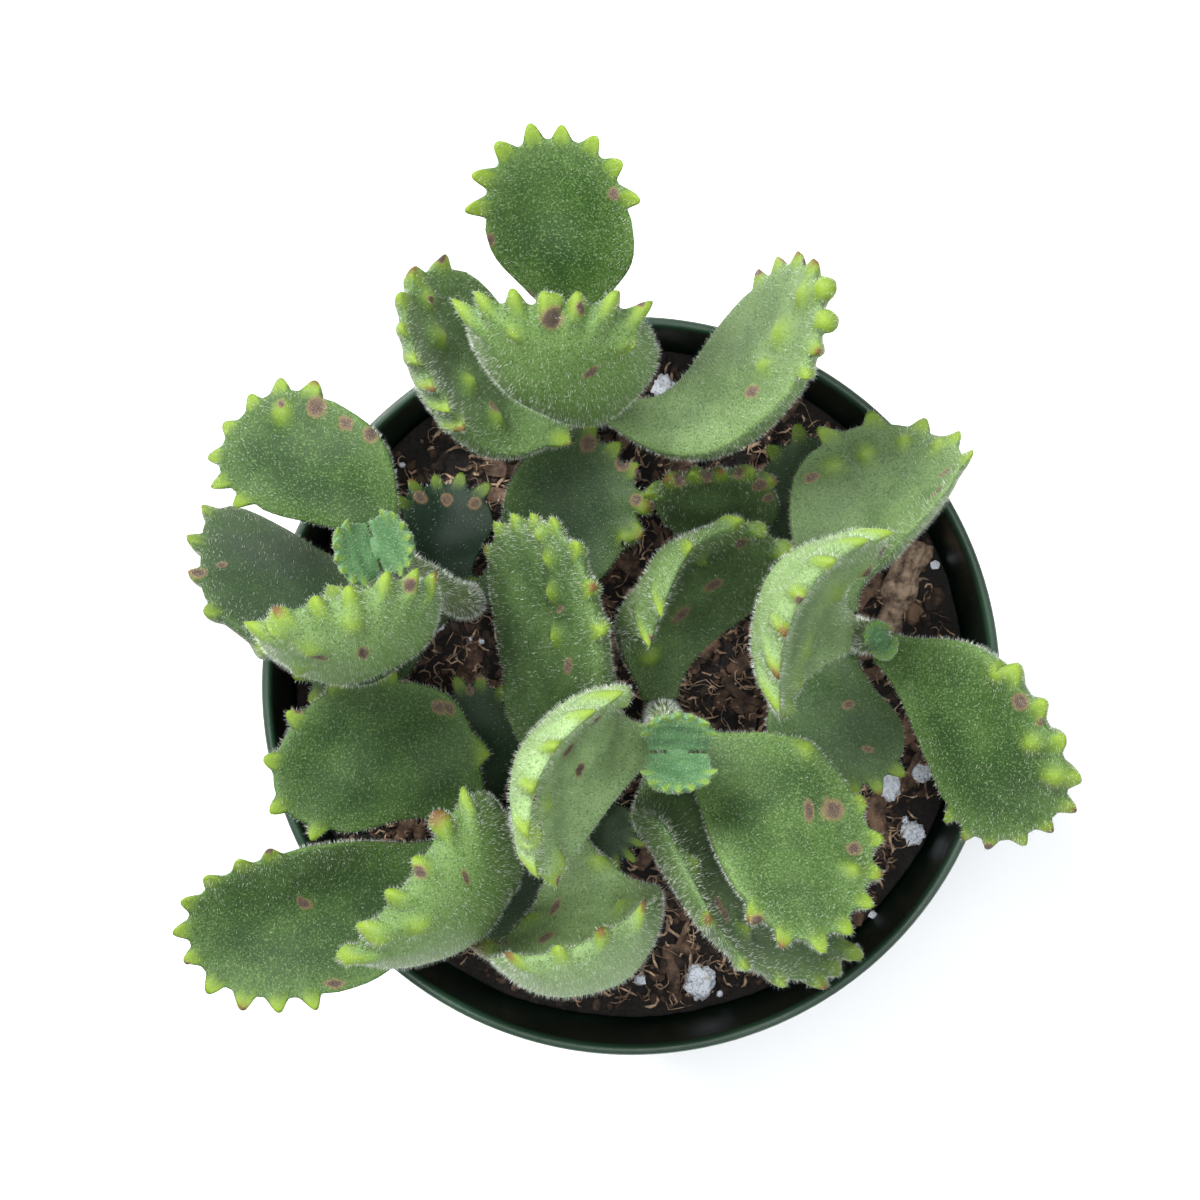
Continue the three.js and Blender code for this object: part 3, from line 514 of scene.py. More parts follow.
def soil_height(x, y):
    out = np.hypot(x, y) / COLLAR_RADIUS
    swell = 0.8 * np.sin(0.31 * x + 1.2) * np.cos(0.27 * y)
    crumb = 0.5 * np.sin(0.83 * x - 0.62 * y) * np.cos(0.71 * x + 0.4)
    return SOIL_LEVEL + SOIL_MOUND * (1 - out * out) + swell + crumb


def spline(points, count):
    p = np.array(points, float)
    p = np.vstack([2 * p[0] - p[1], p, 2 * p[-1] - p[-2]])
    line = []
    for share in np.linspace(0, len(points) - 1 - 1e-6, count):
        i = int(share)
        a, b, c, d = p[i:i + 4]
        before, here, after = (np.linalg.norm(v) ** 0.5 for v in (b - a, c - b, d - c))
        go = (b - a) / before - (c - a) / (before + here) + (c - b) / here
        come = (c - b) / here - (d - b) / (here + after) + (d - c) / after
        go, come, w = go * here, come * here, share - i
        line.append(b + go * w + (3 * (c - b) - 2 * go - come) * w ** 2
                    + (2 * (b - c) + go + come) * w ** 3)
    return np.array(line)


def stem_line(shoot, count=240):
    (fx, fy), (tx, ty, tz), (bx, by) = shoot["foot"], shoot["top"], shoot["bow"]
    level = soil_height(fx, fy)
    half = ((fx + tx) / 2 + bx, (fy + ty) / 2 + by, (level + tz) / 2)
    return spline([(fx, fy, level - ROOT_DEPTH), (fx, fy, level), half, (tx, ty, tz)], count)


STEM_LINES = {name: stem_line(shoot) for name, shoot in SHOOTS.items()}


def stem_at(name, z):
    line = STEM_LINES[name]
    share = np.interp(z, line[:, 2], np.linspace(0, 1, len(line)))
    return np.array([np.interp(z, line[:, 2], line[:, k]) for k in (0, 1)] + [z]), share


print("stem tops:", {name: [round(v) for v in line[-1]] for name, line in STEM_LINES.items()})

# %% [markdown]
# ## The shape of a leaf
#
# Seen flat, a leaf is an egg shape on a narrow foot. Its edge is drawn once as a closed line, with
# the teeth pushed out along it. The body is then a set of loops: the edge itself, and copies of
# it that draw in towards the leaf's middle line, lifted a little above and dropped much further
# below, as on a boat's hull. A subdivided box could be sculpted into the same form, but loops
# keep full control of every tooth. Last, the flat leaf is laid along its own bent, turned and
# rolled line.

# %% Edge and teeth
TOOTH_HEIGHT = 1.8
TOOTH_WIDTH = 3
TOOTH_REACH = 0.62
TOOTH_FILL = 0.44
TOOTH_SIZES = (0.82, 1.08)
TOOTH_LEAN = 0.12
NOTCH_DIP = 0.15
NOTCH_END = 1.6
BASE_SHARE = 0.19
FLARE_FROM, FLARE_SPAN = 0.15, 1.17
WIDEST = 0.62
TIP_POWER = 2.4


def smooth_edge(leaf, steps=70):
    length, width, _ = leaf["size"]
    half = width / 2
    share = np.arange(steps) / steps
    flare = np.clip((share + FLARE_FROM) / FLARE_SPAN, 0, 1)
    flare = flare ** 3 * (flare * (flare * 6 - 15) + 10)
    side = np.stack([half * mix(leaf.get("base", BASE_SHARE), 1, flare), share * WIDEST * length], 1)
    angle = np.linspace(0, np.pi / 2, steps + 1)
    power = 2 / leaf.get("tip", TIP_POWER)
    tip = np.stack([half * np.abs(np.cos(angle)) ** power,
                    length * mix(WIDEST, 1, np.sin(angle) ** power)], 1)
    right = np.vstack([side, tip])
    return np.vstack([right, (right * [-1, 1])[-2::-1]])


def toothed_edge(leaf, height, random):
    line = smooth_edge(leaf)
    runs = np.concatenate([[0], np.cumsum(np.linalg.norm(np.diff(line, axis=0), axis=1))])
    count, start, end = leaf["teeth"]
    pitch = (end - start) / count
    tooth = leaf.get("tooth_width", TOOTH_WIDTH)
    reach = min(pitch * TOOTH_FILL, tooth * TOOTH_REACH / runs[-1])
    valley = pitch / reach - 2
    steps = np.concatenate([np.linspace(-1, 1, 13), [1 + valley / 3, 1 + 2 * valley / 3]])
    middles = start + (np.arange(count) + 0.5) * pitch
    toothed = (middles[:, None] + reach * steps).ravel()
    toothed = toothed[toothed < middles[-1] + 1.05 * reach]
    shares = np.concatenate([np.linspace(0, toothed[0], 15, endpoint=False), toothed,
                             np.linspace(toothed[-1], 1, 16)[1:]])
    flat = np.stack([np.interp(shares * runs[-1], runs, line[:, k]) for k in (0, 1)], 1)
    run = unit(np.gradient(line, axis=0))
    run = np.stack([np.interp(shares * runs[-1], runs, run[:, k]) for k in (0, 1)], 1)
    out = unit(np.stack([run[:, 1], -run[:, 0]], 1))
    which = np.abs(shares[:, None] - middles).argmin(1)
    sizes = random.uniform(*TOOTH_SIZES, count)
    lean = random.uniform(-TOOTH_LEAN, TOOTH_LEAN, count)[which]
    aside = (shares - middles[which]) / reach
    wave = 1 - smooth(np.abs(aside + lean * (1 - aside ** 2)), 0.05, 1)
    fade = NOTCH_END * reach
    inside = smooth(shares, middles[0] - fade, middles[0] - reach)
    inside = inside * (1 - smooth(shares, middles[-1] + reach, middles[-1] + fade))
    push = height * ((sizes[which] + NOTCH_DIP) * wave - NOTCH_DIP * inside)
    return flat, out, push, wave, which, aside * reach * runs[-1]


# %% [markdown]
# A leaf's line starts at its foot and follows its heading and rise. At every point it has three
# directions: along the leaf, across it, and up out of its flat face.

# %% The line of a leaf
def leaf_line(leaf, foot, steps=96):
    length = leaf["size"][0]

    def directions(t):
        turned = smooth(t, 0, 0.5)
        heading = np.radians(leaf["az"] + leaf.get("turn", 0) * turned)
        rise = np.radians(mix(*leaf["rise"], t))
        roll = np.radians(leaf.get("roll", 0) * turned)[..., None]
        along = np.stack([np.cos(rise) * np.cos(heading), np.cos(rise) * np.sin(heading),
                          np.sin(rise)], -1)
        level = np.stack([np.sin(heading), -np.cos(heading), 0 * heading], -1)
        across = level * np.cos(roll) + np.cross(level, along) * np.sin(roll)
        return along, across, np.cross(across, along)

    middles = directions((np.arange(steps) + 0.5) / steps)[0] * length / steps
    spots = np.vstack([foot, foot + np.cumsum(middles, axis=0)])

    def place(x, y, h):
        t = np.clip(y / length, 0, 1)
        along, across, up = directions(t)
        spot = np.stack([np.interp(t, np.linspace(0, 1, steps + 1), spots[:, k])
                         for k in range(3)], -1)
        spot += along * (y - t * length)[..., None]
        return spot + across * x[..., None] + up * h[..., None], along

    return place


# %% [markdown]
# The body is built loop by loop, first up the upper face and then down the lower one. Under each
# tooth the lower face swells into a rounded knob. Every corner also gets its zone values here,
# because this is where it is still known how far it is from the edge, which tooth it belongs to,
# and which face of the leaf it is on.

# %% The body of a leaf
TOP_SHARE = 0.14
EDGE_POWER = 2.6
SKEW_FROM = 0.2
FOOT_THICKNESS = 0.58
SWELL = (0.12, 1.07)
DISH = (0.05, 0.5)
CORE = (0.14, 0.66)
FADE_ABOVE, FADE_BELOW = 6, 4.5
KNOB_ABOVE, KNOB_BELOW = 0.15, -0.9
KNOB_WIDTH = 1.5
KNOB_PLACE, KNOB_REACH = 2.2, 1.1
RIPPLE = 0.05
BROWN_SHARE = 0.22
ABOVE = [0.05, 0.2, 0.36, 0.5, 0.62, 0.73, 0.82, 0.885, 0.935, 0.972, 1]
BELOW = [0.985, 0.955, 0.91, 0.85, 0.77, 0.67, 0.55, 0.4, 0.23, 0.06]


def loop_faces(loops, count, core_y):
    i = np.arange(count)
    j = (i + 1) % count
    faces = []
    for start in range(0, (loops - 1) * count, count):
        a, b = start + i, start + j
        faces.append(np.stack([a, b + count, b], 1))
        faces.append(np.stack([a, a + count, b + count], 1))
    right, left, last, rungs = 0, count - 1, (loops - 1) * count, []
    while left - right > 1:
        by_right = core_y[right + 1] <= core_y[left - 1]
        third = right + 1 if by_right else left - 1
        rungs.append((right, third, left))
        rungs.append((last + right, last + left, last + third))
        right, left = (third, left) if by_right else (right, third)
    return np.vstack(faces + [np.array(rungs)])


def leaf_body(leaf, foot, seed):
    random = np.random.default_rng(seed)
    length, width, thick = leaf["size"]
    height = TOOTH_HEIGHT * leaf.get("tooth_scale", 1)
    flat, out, push, wave, which, beside = toothed_edge(leaf, height, random)
    place = leaf_line(leaf, foot)
    core = np.clip(flat[:, 1], CORE[0] * length, CORE[1] * length)
    points, alongs, zones = [], [], {k: [] for k in ("tooth", "edge", "outer", "brown")}
    brown_tips = random.random(leaf["teeth"][0]) < BROWN_SHARE
    knobs = random.uniform(0.1, 1.0, leaf["teeth"][0])[which] * np.exp(-(beside / KNOB_WIDTH) ** 2)
    phase = random.uniform(0, 6.28, 4)
    for side, s in [(1, s) for s in ABOVE] + [(-1, s) for s in BELOW]:
        full = math.sqrt(max(0, 1 - s ** EDGE_POWER))
        keep = push * s ** (FADE_ABOVE if side > 0 else FADE_BELOW)
        x = s * (flat[:, 0] + keep * out[:, 0])
        y = mix(core, flat[:, 1] + keep * out[:, 1], s)
        u = np.clip(y / length, 0, 1)
        body = thick * mix(FOOT_THICKNESS, 1, np.sin(np.pi * np.minimum(1, mix(*SWELL, u))))
        dish = leaf["cup"] * (2 * x / width) ** 2 * smooth(u, *DISH)
        shell = TOP_SHARE if side > 0 else TOP_SHARE - 1
        folds = np.sin(9.3 * x / width + phase[0]) * np.sin(u * 9 + phase[1])
        ripple = RIPPLE * thick * (folds + 0.5 * np.sin(u * 17 + phase[2])) * (1 - s ** 3)
        in_by = (1 - s) * np.hypot(flat[:, 0], flat[:, 1] - core) + full * (0.5 if side > 0 else 2)
        knob = knobs * np.exp(-((in_by - KNOB_PLACE) / KNOB_REACH) ** 2) * min(1, height)
        knob = knob * (KNOB_ABOVE if side > 0 else KNOB_BELOW)
        aside = leaf.get("skew", 0) * width * smooth(u, SKEW_FROM, 1)
        spot, along = place(x + aside, y, dish + shell * full * body + ripple + knob)
        points.append(spot)
        alongs.append(along)
        near = 1 - smooth(in_by, 0.5, 2.2 if side > 0 else 3.2)
        zones["tooth"].append(smooth(wave, 0.15, 0.75) * near * 0.9)
        # Edge zone: a narrow band for the hairy edge, plus a broader band that paints a lighter rim,
        # standing in for light glowing through the thin edge.
        zones["edge"].append(0.5 * (1 - smooth(in_by, 0.3, 2)) + 0.5 * (1 - smooth(in_by, 1, 6.5)))
        zones["outer"].append(np.full(len(x), 0.0 if side > 0 else smooth(1 - s, 0, 0.1)))
        tip = smooth(wave, 0.72, 0.95) * smooth(s, 0.95, 1.0) * brown_tips[which]
        zones["brown"].append(tip)
    faces = loop_faces(len(ABOVE) + len(BELOW), len(flat), flat[:, 1])
    zones = {k: np.concatenate(v) for k, v in zones.items()}
    return np.vstack(points), faces, np.vstack(alongs), zones


def corner_normals(points, faces):
    a, b, c = (points[faces[:, k]] for k in range(3))
    flat = np.cross(b - a, c - a)
    normals = np.zeros_like(points)
    for k in range(3):
        np.add.at(normals, faces[:, k], flat)
    return unit(normals)


# %% [markdown]
# ## Hairs
#
# A hair could be a curve, but only real faces are sure to be kept wherever this plant goes, so
# each is a needle of four small triangles. Hairs are sown over the skin by area, more thickly
# on the outer face and at the edge, where they show as a white fringe, and each stands nearly
# straight out of the skin.

# %% Growing hairs
HAIR_LEAN = 0.2
HAIR_MESS = 0.18
HAIR_ROOT = 0.06


def grow_hairs(points, faces, normals, lean, per_mm2, long, thick, random, more=None, less=None):
    a, b, c = (points[faces[:, k]] for k in range(3))
    area = np.linalg.norm(np.cross(b - a, c - a), axis=1) / 2
    want = area.copy()
    if more is not None:
        want = want * (1 + more[faces].mean(1))
    if less is not None:
        want = want * (1 - 0.85 * less[faces].mean(1))
    count = int(area.sum() * per_mm2)
    pick = random.choice(len(faces), count, p=want / want.sum())
    r, q = np.sqrt(random.random(count)), random.random(count)
    share = np.stack([1 - r, r * (1 - q), r * q], 1)[..., None]
    root = (points[faces[pick]] * share).sum(1)
    up = unit((normals[faces[pick]] * share).sum(1))
    tip = unit((lean[faces[pick]] * share).sum(1))
    way = unit(up + tip * HAIR_LEAN + random.normal(0, HAIR_MESS, (count, 3)))
    size = long * random.uniform(0.6, 1.2, count)[:, None]
    side = unit(np.cross(way, random.normal(0, 1, (count, 3))))
    other = np.cross(way, side)
    ring = [root - way * HAIR_ROOT + thick * (math.cos(k) * side + math.sin(k) * other)
            for k in (0, 2.0944, 4.1888)]
    return np.stack([*ring, root + way * size], 1)


NEEDLE = np.array([(0, 1, 3), (1, 2, 3), (2, 0, 3), (0, 2, 1)])


def hair_piece(name, tufts, random):
    needles = np.concatenate(tufts)
    starts = np.arange(len(needles))[:, None, None] * 4
    faces = (starts + NEEDLE).reshape(-1, 3)
    piece = new_piece(name, needles.reshape(-1, 3), faces, HAIRS)
    kinds = random.choice(3, len(needles), p=(0.62, 0.24, 0.14)).repeat(4)
    piece.data.polygons.foreach_set("material_index", kinds.astype(np.int32))
    return piece


# %% [markdown]
# ## All the leaves
#
# Now each leaf is built at its place on its stem. Its marks are moved onto its skin: of all the
# corners that face the eye, the one that is seen nearest to the mark becomes its middle, and the
# skin round it is coloured, and swollen or roughened, by its true distance from there.

# %% Build the leaves
GAP = 0.3
HAIR_LONG = 0.68
HAIR_THICK = 0.018
LEAF_HAIRS = 3.1
SHADED_HAIR_THINNING = 0.6
BUMP_SPREAD, BUMP_HEIGHT = 1.15, 1.4
SCAR_SPREAD, SCAR_RELIEF = 0.85, 0.35
# Painted shade: below these heights the leaves are painted darker, as if shaded by those above.
SHADE_HEIGHTS = (76, 104)
LOW_SHADE = 0.75
BLOOM = 0.6


def stand_off(leaf, share):
    lean = 0.4 * TOP_SHARE * leaf["size"][2] * math.sin(math.radians(leaf["rise"][0]))
    stem = STEM_RADIUS * mix(1, STEM_TAPER, share) * math.cos(math.pi / 8)
    return stem + GAP + lean + leaf.get("clear", 0)


def mark_zone(points, normals, marks, grow):
    zone = np.zeros(len(points))
    across, down = seen_at(points)
    facing = normals[:, 2] > 0.15
    for px, py, radius in marks:
        apart = np.hypot(across - px, down - py) + np.where(facing, 0, 1e4)
        middle = points[np.argmin(apart)]
        reach = grow * radius * (EYE[2] - middle[2]) / EYE_SCALE
        zone = np.maximum(zone, np.exp(-(np.linalg.norm(points - middle, axis=1) / reach) ** 2))
    return zone


def dress_leaf(name, leaf, points, faces, zones):
    normals = corner_normals(points, faces)
    bumps = mark_zone(points, normals, BUMPS.get(name, []), BUMP_SPREAD)
    scars = mark_zone(points, normals, SCARS.get(name, []), SCAR_SPREAD)
    rough = waves(points, 0.9, 3, 2) if scars.max() > 0.1 else 0
    points = points + normals * (BUMP_HEIGHT * bumps + SCAR_RELIEF * scars * rough)[:, None]
    zones["tooth"] = np.maximum(zones["tooth"], 0.75 * smooth(bumps, 0.05, 0.95))
    zones["scar"] = scars
    return points, corner_normals(points, faces), zones


hair_random = np.random.default_rng(70)
TUFTS = {name: [] for name in SHOOTS}
leaf_faces = 0
for number, (name, leaf) in enumerate(LEAVES.items()):
    shoot = name.split("_")[0]
    middle, share = stem_at(shoot, leaf["z"])
    heading = math.radians(leaf["az"])
    foot = middle + stand_off(leaf, share) * np.array([math.cos(heading), math.sin(heading), 0])
    points, faces, alongs, zones = leaf_body(leaf, foot, 100 + number)
    points, normals, zones = dress_leaf(name, leaf, points, faces, zones)
    piece = new_piece(name + "_skin", points, faces, LEAF, replaces=name)
    for zone, values in zones.items():
        give_values(piece, zone, values)
    # Painted shade: each leaf's own share of shade, raised on low corners, standing in for the shadow of
    # the leaves above.
    deep = leaf.get("deep", 0)
    low = LOW_SHADE * (1 - smooth(points[:, 2], *SHADE_HEIGHTS))
    give_values(piece, "deep", np.maximum(deep, low))
    give_values(piece, "pale", np.full(len(points), BLOOM * leaf.get("pale", 0)))
    thicker = 4 * zones["edge"] + 1.2 * zones["outer"] - 0.5 * (1 - zones["outer"]) * (1 - zones["edge"])
    per_mm2 = LEAF_HAIRS * (1 - SHADED_HAIR_THINNING * deep)
    TUFTS[shoot].append(grow_hairs(points, faces, normals, alongs, per_mm2, HAIR_LONG, HAIR_THICK,
                                   hair_random, thicker, zones["scar"]))
    leaf_faces += len(faces)
print("leaf triangles:", leaf_faces)

# %% [markdown]
# ## Growing tips
#
# At the top of three shoots two young leaves stand face to face and meet at a slit, with big round
# teeth for their size. They are the same kind of body as a grown leaf, only short, wide at the
# foot and upright, so the same code makes them.

# %% Build the growing tips
BUD_TOOTH, BUD_TOOTH_WIDTH = 0.065, 0.3
BUD_OUT, BUD_UP = 0.035, 0.091
STUB_SIZE, STUB_FLAT = 0.26, 0.3
BUD_HAIRS = dict(per_mm2=7, long=0.36, thick=0.014)


def bud_parts(bud):
    length = bud["size"][0]
    top = np.array(SHOOTS[bud["on"]]["top"], float) + (0, 0, GAP)
    for az in (bud["az"], bud["az"] + 180):
        heading = math.radians(az)
        off = np.array([BUD_OUT * math.cos(heading), BUD_OUT * math.sin(heading), BUD_UP])
        young = dict(YOUNG_LEAF, az=az, size=bud["size"], tooth_scale=BUD_TOOTH * length,
                     tooth_width=BUD_TOOTH_WIDTH * length)
        yield young, top + length * off


def ball(middle, radius, rings=8, sides=14):
    polar = np.linspace(0, np.pi, rings + 1)[1:-1]
    turn = np.arange(sides) / sides * 2 * np.pi
    p, t = np.meshgrid(polar, turn, indexing="ij")
    skin = np.stack([np.sin(p) * np.cos(t), np.sin(p) * np.sin(t), np.cos(p)], -1).reshape(-1, 3)
    points = middle + radius * np.vstack([skin, [[0, 0, 1], [0, 0, -1]]])
    return points, ring_faces(rings - 1, sides)[:, ::-1]


for number, (name, bud) in enumerate(BUDS.items()):
    all_points, all_faces, all_zones, start = [], [], {}, 0
    for k, (young, foot) in enumerate(bud_parts(bud)):
        points, faces, alongs, zones = leaf_body(young, foot, 300 + 10 * number + k)
        normals = corner_normals(points, faces)
        zones["tooth"] *= 0.7
        zones["brown"] *= 0
        TUFTS[bud["on"]].append(grow_hairs(points, faces, normals, alongs, **BUD_HAIRS,
                                           random=hair_random, more=2.5 * zones["edge"]))
        all_points.append(points)
        all_faces.append(faces + start)
        for zone, values in zones.items():
            all_zones.setdefault(zone, []).append(values)
        start += len(points)
    radius = STUB_SIZE * bud["size"][0]
    top = np.array(SHOOTS[bud["on"]]["top"], float) + (0, 0, GAP)
    points, faces = ball(top + (0, 0, radius), radius)
    points[:, 2] = mix(top[2], points[:, 2], STUB_FLAT)
    all_points.append(points)
    all_faces.append(faces + start)
    piece = new_piece(name + "_skin", np.vstack(all_points), np.vstack(all_faces), YOUNG,
                      replaces=name)
    for zone, values in all_zones.items():
        give_values(piece, zone, np.concatenate(values + [np.zeros(len(points))]))
    print(name, "has", len(piece.data.polygons), "triangles")

# %% [markdown]
# ## Stems
#
# The stems are fleshy, pale and hairy, with faint rings where old leaves fell. Each is a tube
# round its line, with its radius varied a little by noise and by the rings.

# %% Build the stems
STEM_SIDES = 26
LEAF_RINGS = ((0.035, 55), (0.02, 131))
SHOULDER = (0.96, 0.86, 0.66)
WOODY_HEIGHT = 22
STEM_HAIRS = dict(per_mm2=3.2, long=0.95, thick=0.03)


def tube(line, radii, sides):
    rings = []
    for middle, radius in zip(line, radii):
        turn = np.arange(sides) / sides * 2 * np.pi
        rings.append(middle + np.stack([radius * np.cos(turn), radius * np.sin(turn), 0 * turn], 1))
    return np.vstack(rings + [line[:1], line[-1:]]), ring_faces(len(line), sides)


for number, (name, shoot) in enumerate(SHOOTS.items()):
    line = stem_line(shoot, 70)
    share = np.linspace(0, 1, len(line))
    radii = STEM_RADIUS * mix(1, STEM_TAPER, share)
    (large, often), (small, oftener) = LEAF_RINGS
    radii = radii * (1 + large * np.sin(share * often + number) + small * np.sin(share * oftener))
    radii[-3:] *= SHOULDER
    points, faces = tube(line, radii, STEM_SIDES)
    normals = corner_normals(points, faces)
    points = points + normals * (0.12 * waves(points, 1.6, 20 + number, 2))[:, None]
    piece = new_piece(name + "_stem_skin", points, faces, STEM, replaces=name + "_stem")
    for zone in ("tooth", "edge", "brown", "scar", "deep"):
        give_values(piece, zone, np.zeros(len(points)))
    woody = 1 - smooth(points[:, 2], SOIL_LEVEL, SOIL_LEVEL + WOODY_HEIGHT)
    give_values(piece, "outer", woody)
    give_values(piece, "pale", 0.3 * smooth(waves(points, 2.2, 50, 2), 0, 0.5))
    above = points[:, 2] > SOIL_LEVEL + 2
    seen = faces[above[faces].all(1)]
    upward = np.tile([0.0, 0.0, 1.0], (len(points), 1))
    TUFTS[name].append(grow_hairs(points, seen, normals, upward, **STEM_HAIRS, random=hair_random))
print("stems:", len(SHOOTS))

# %% [markdown]
# All the hairs of a shoot go into one piece, named after the shoot.

# %% Hair pieces
for name, tufts in TUFTS.items():
    piece = hair_piece(name + "_hairs", tufts, hair_random)
    print(piece.name, "has", len(piece.data.polygons), "triangles")

# %% [markdown]
# ## The pot
#
# It is a thin blow-moulded nursery pot: a cone with a wider collar and a small rolled lip, and
# slots round the foot for water. Its half outline is spun round the axis, which is how such a
# shape is turned, and the slots are cut with a Boolean modifier, as a maker would punch them.

# %% The pot's finish
def pot_finish():
    material, tree, shader = new_finish("pot_plastic", Specular_IOR_Level=0.3)
    patches, fine = grain(tree, 60.0, 2400.0)
    colour = mixed(tree, spread(tree, patches, 0.3, 0.7), (0.0015, 0.007, 0.004), (0.003, 0.011, 0.006))
    place = add(tree, "TexCoord")
    height = add(tree, "SeparateXYZ")
    put(tree, place.outputs["Object"], height.inputs[0])
    # Painted highlight: the top of the rolled lip is painted a lighter green, as if it caught the light
    # from above.
    lip_highlight = spread(tree, height.outputs["Z"], 0.0845, 0.0856)
    colour = mixed(tree, times(tree, lip_highlight, 0.55), colour, (0.02, 0.055, 0.03))
    dust = add(tree, "TexNoise", Scale=420.0, Detail=6.0, Roughness=0.7)
    specks = spread(tree, dust.outputs["Fac"], 0.62, 0.74)
    colour = mixed(tree, times(tree, specks, 0.25), colour, (0.09, 0.08, 0.06))
    put(tree, colour, shader.inputs["Base Color"])
    put(tree, spread(tree, patches, 0.3, 0.7, 0.34, 0.5), shader.inputs["Roughness"])
    bump(tree, sums(tree, "ADD", fine, specks), shader, 0.00012, 0.5)
    return material


# %% [markdown]
# The outline goes up the outside, over the lip and down the inside. The lip is rounded with a
# few more corners than the plain solid has.

# %% Build the pot
POT_SIDES = 216
SLOTS = 8
SLOT_REACH = (31, 45)
SLOT_OUTLINE = ((-4.5, -5), (4.5, -5), (4.5, 3.8), (3.3, 5), (-3.3, 5), (-4.5, 3.8))
OUTLINE = [
    (0, 0), (20, 0), (36.4, 0), (37.3, 0.25), (37.8, 0.7), (38.1, 1.4), (41.8, 22), (45.6, 43),
    (49.3, 63.6), (49.6, 64.1), (51.2, 65.2), (51.75, 65.6), (51.9, 66.3), (52.6, 74), (53.35, 82.6),
    (53.5, 83.7), (53.8, 84.1), (53.97, 84.5), (54, 85), (53.95, 85.6), (53.75, 85.9), (53.4, 86),
    (53.0, 86), (52.75, 85.85), (52.55, 85.5), (52.2, 84), (51.4, 74.6), (50.65, 66.6), (50.3, 66),
    (48.4, 65.1), (48.2, 64.6), (44.4, 42), (40.5, 21), (36.95, 2.1), (36.4, 1.65), (20, 1.6), (0, 1.6),
]


def spun(outline, sides):
    turn = np.arange(sides) / sides * 2 * np.pi
    ends = [p for p in outline if p[0] == 0]
    rings = [p for p in outline if p[0] > 0]
    points = [np.stack([r * np.cos(turn), r * np.sin(turn), 0 * turn + z], 1) for r, z in rings]
    return np.vstack(points + [[(0, 0, z)] for _, z in ends]), ring_faces(len(rings), sides)


def drain_cutter():
    points, faces = [], []
    for k in range(SLOTS):
        ca, sa = math.cos(k * 2 * math.pi / SLOTS), math.sin(k * 2 * math.pi / SLOTS)
        start = len(points)
        points += [(r * ca - w * sa, r * sa + w * ca, z) for r in SLOT_REACH for w, z in SLOT_OUTLINE]
        for m in range(6):
            n = (m + 1) % 6
            faces += [(start + m, start + 6 + m, start + 6 + n), (start + m, start + 6 + n, start + n)]
        faces += [(start, start + m, start + m + 1) for m in range(1, 5)]
        faces += [(start + 6, start + 6 + m + 1, start + 6 + m) for m in range(1, 5)]
    mesh = bpy.data.meshes.new("drain_cutter")
    mesh.from_pydata([[v * MM for v in p] for p in points], [], faces)
    return bpy.data.objects.new("drain_cutter", mesh)


points, faces = spun(OUTLINE, POT_SIDES)
pot = new_piece("pot_shell", points, faces, pot_finish(), replaces="pot")
cutter = drain_cutter()
bpy.context.scene.collection.objects.link(cutter)
cut = pot.modifiers.new("drain slots", "BOOLEAN")
cut.object, cut.operation, cut.solver = cutter, "DIFFERENCE", "EXACT"
finished = bpy.data.meshes.new_from_object(pot.evaluated_get(bpy.context.evaluated_depsgraph_get()))
pot.modifiers.clear()
pot.data = finished
bpy.data.objects.remove(cutter)
finished.set_sharp_from_angle(angle=math.radians(40))
print("pot faces:", len(pot.data.polygons))

# %% [markdown]
# ## Soil
#
# The soil is peat and coir: dark crumbs of every size, shreds of bark, short tan shreds of coir
# and long thin fibres that catch the light. A bumpy sheet alone would look like putty, so the
# sheet is covered with separate crumbs, shreds and fibres, sown at random and settled onto it.

# %% Soil finishes
def earth_finish(name, dark, light, patch, fine, depth, stretch=1.0):
    material, tree, shader = new_finish(name, Roughness=0.95)
    patches, grains = grain(tree, patch, fine, stretch)
    colour = mixed(tree, spread(tree, patches, 0.3, 0.7), dark, light)
    colour = mixed(tree, spread(tree, grains, 0.62, 0.8), colour, tuple(min(1, 1.7 * c) for c in light))
    put(tree, colour, shader.inputs["Base Color"])
    put(tree, spread(tree, grains, 0.3, 0.7, 0.8, 1.0), shader.inputs["Roughness"])
    bump(tree, grains, shader, depth, 0.8)
    return material


SOIL = earth_finish("soil_peat", (0.002, 0.0012, 0.0008), (0.009, 0.0055, 0.004), 260.0, 1700.0, 0.0006)
CRUMB = earth_finish("soil_crumb", (0.004, 0.002, 0.0012), (0.08, 0.045, 0.028), 240.0, 2200.0, 0.0003)
BARK = earth_finish("bark_shred", (0.015, 0.008, 0.005), (0.16, 0.095, 0.06), 420.0, 2600.0, 0.0003)
FIBRE = earth_finish("coir_fibre", (0.05, 0.027, 0.017), (0.46, 0.32, 0.21), 480.0, 1800.0, 0.0001)

# %% [markdown]
# The sheet is a round grid: rings of corners at the height of the soil, with finer noise on top,
# closed down the side and across the floor of the pot.

# %% Build the soil's body
SOIL_EDGE = 50.3
SOIL_SIDE = ((49.7, 67.6), (47.8, 64.9), (36.4, 1.9))
SOIL_RINGS = 90


def fine_soil(x, y):
    spots = np.stack([x, y, 0 * x], 1)
    return soil_height(x, y) + 0.75 * waves(spots, 4.5, 1, 3) + 0.35 * waves(spots, 1.4, 2, 2)


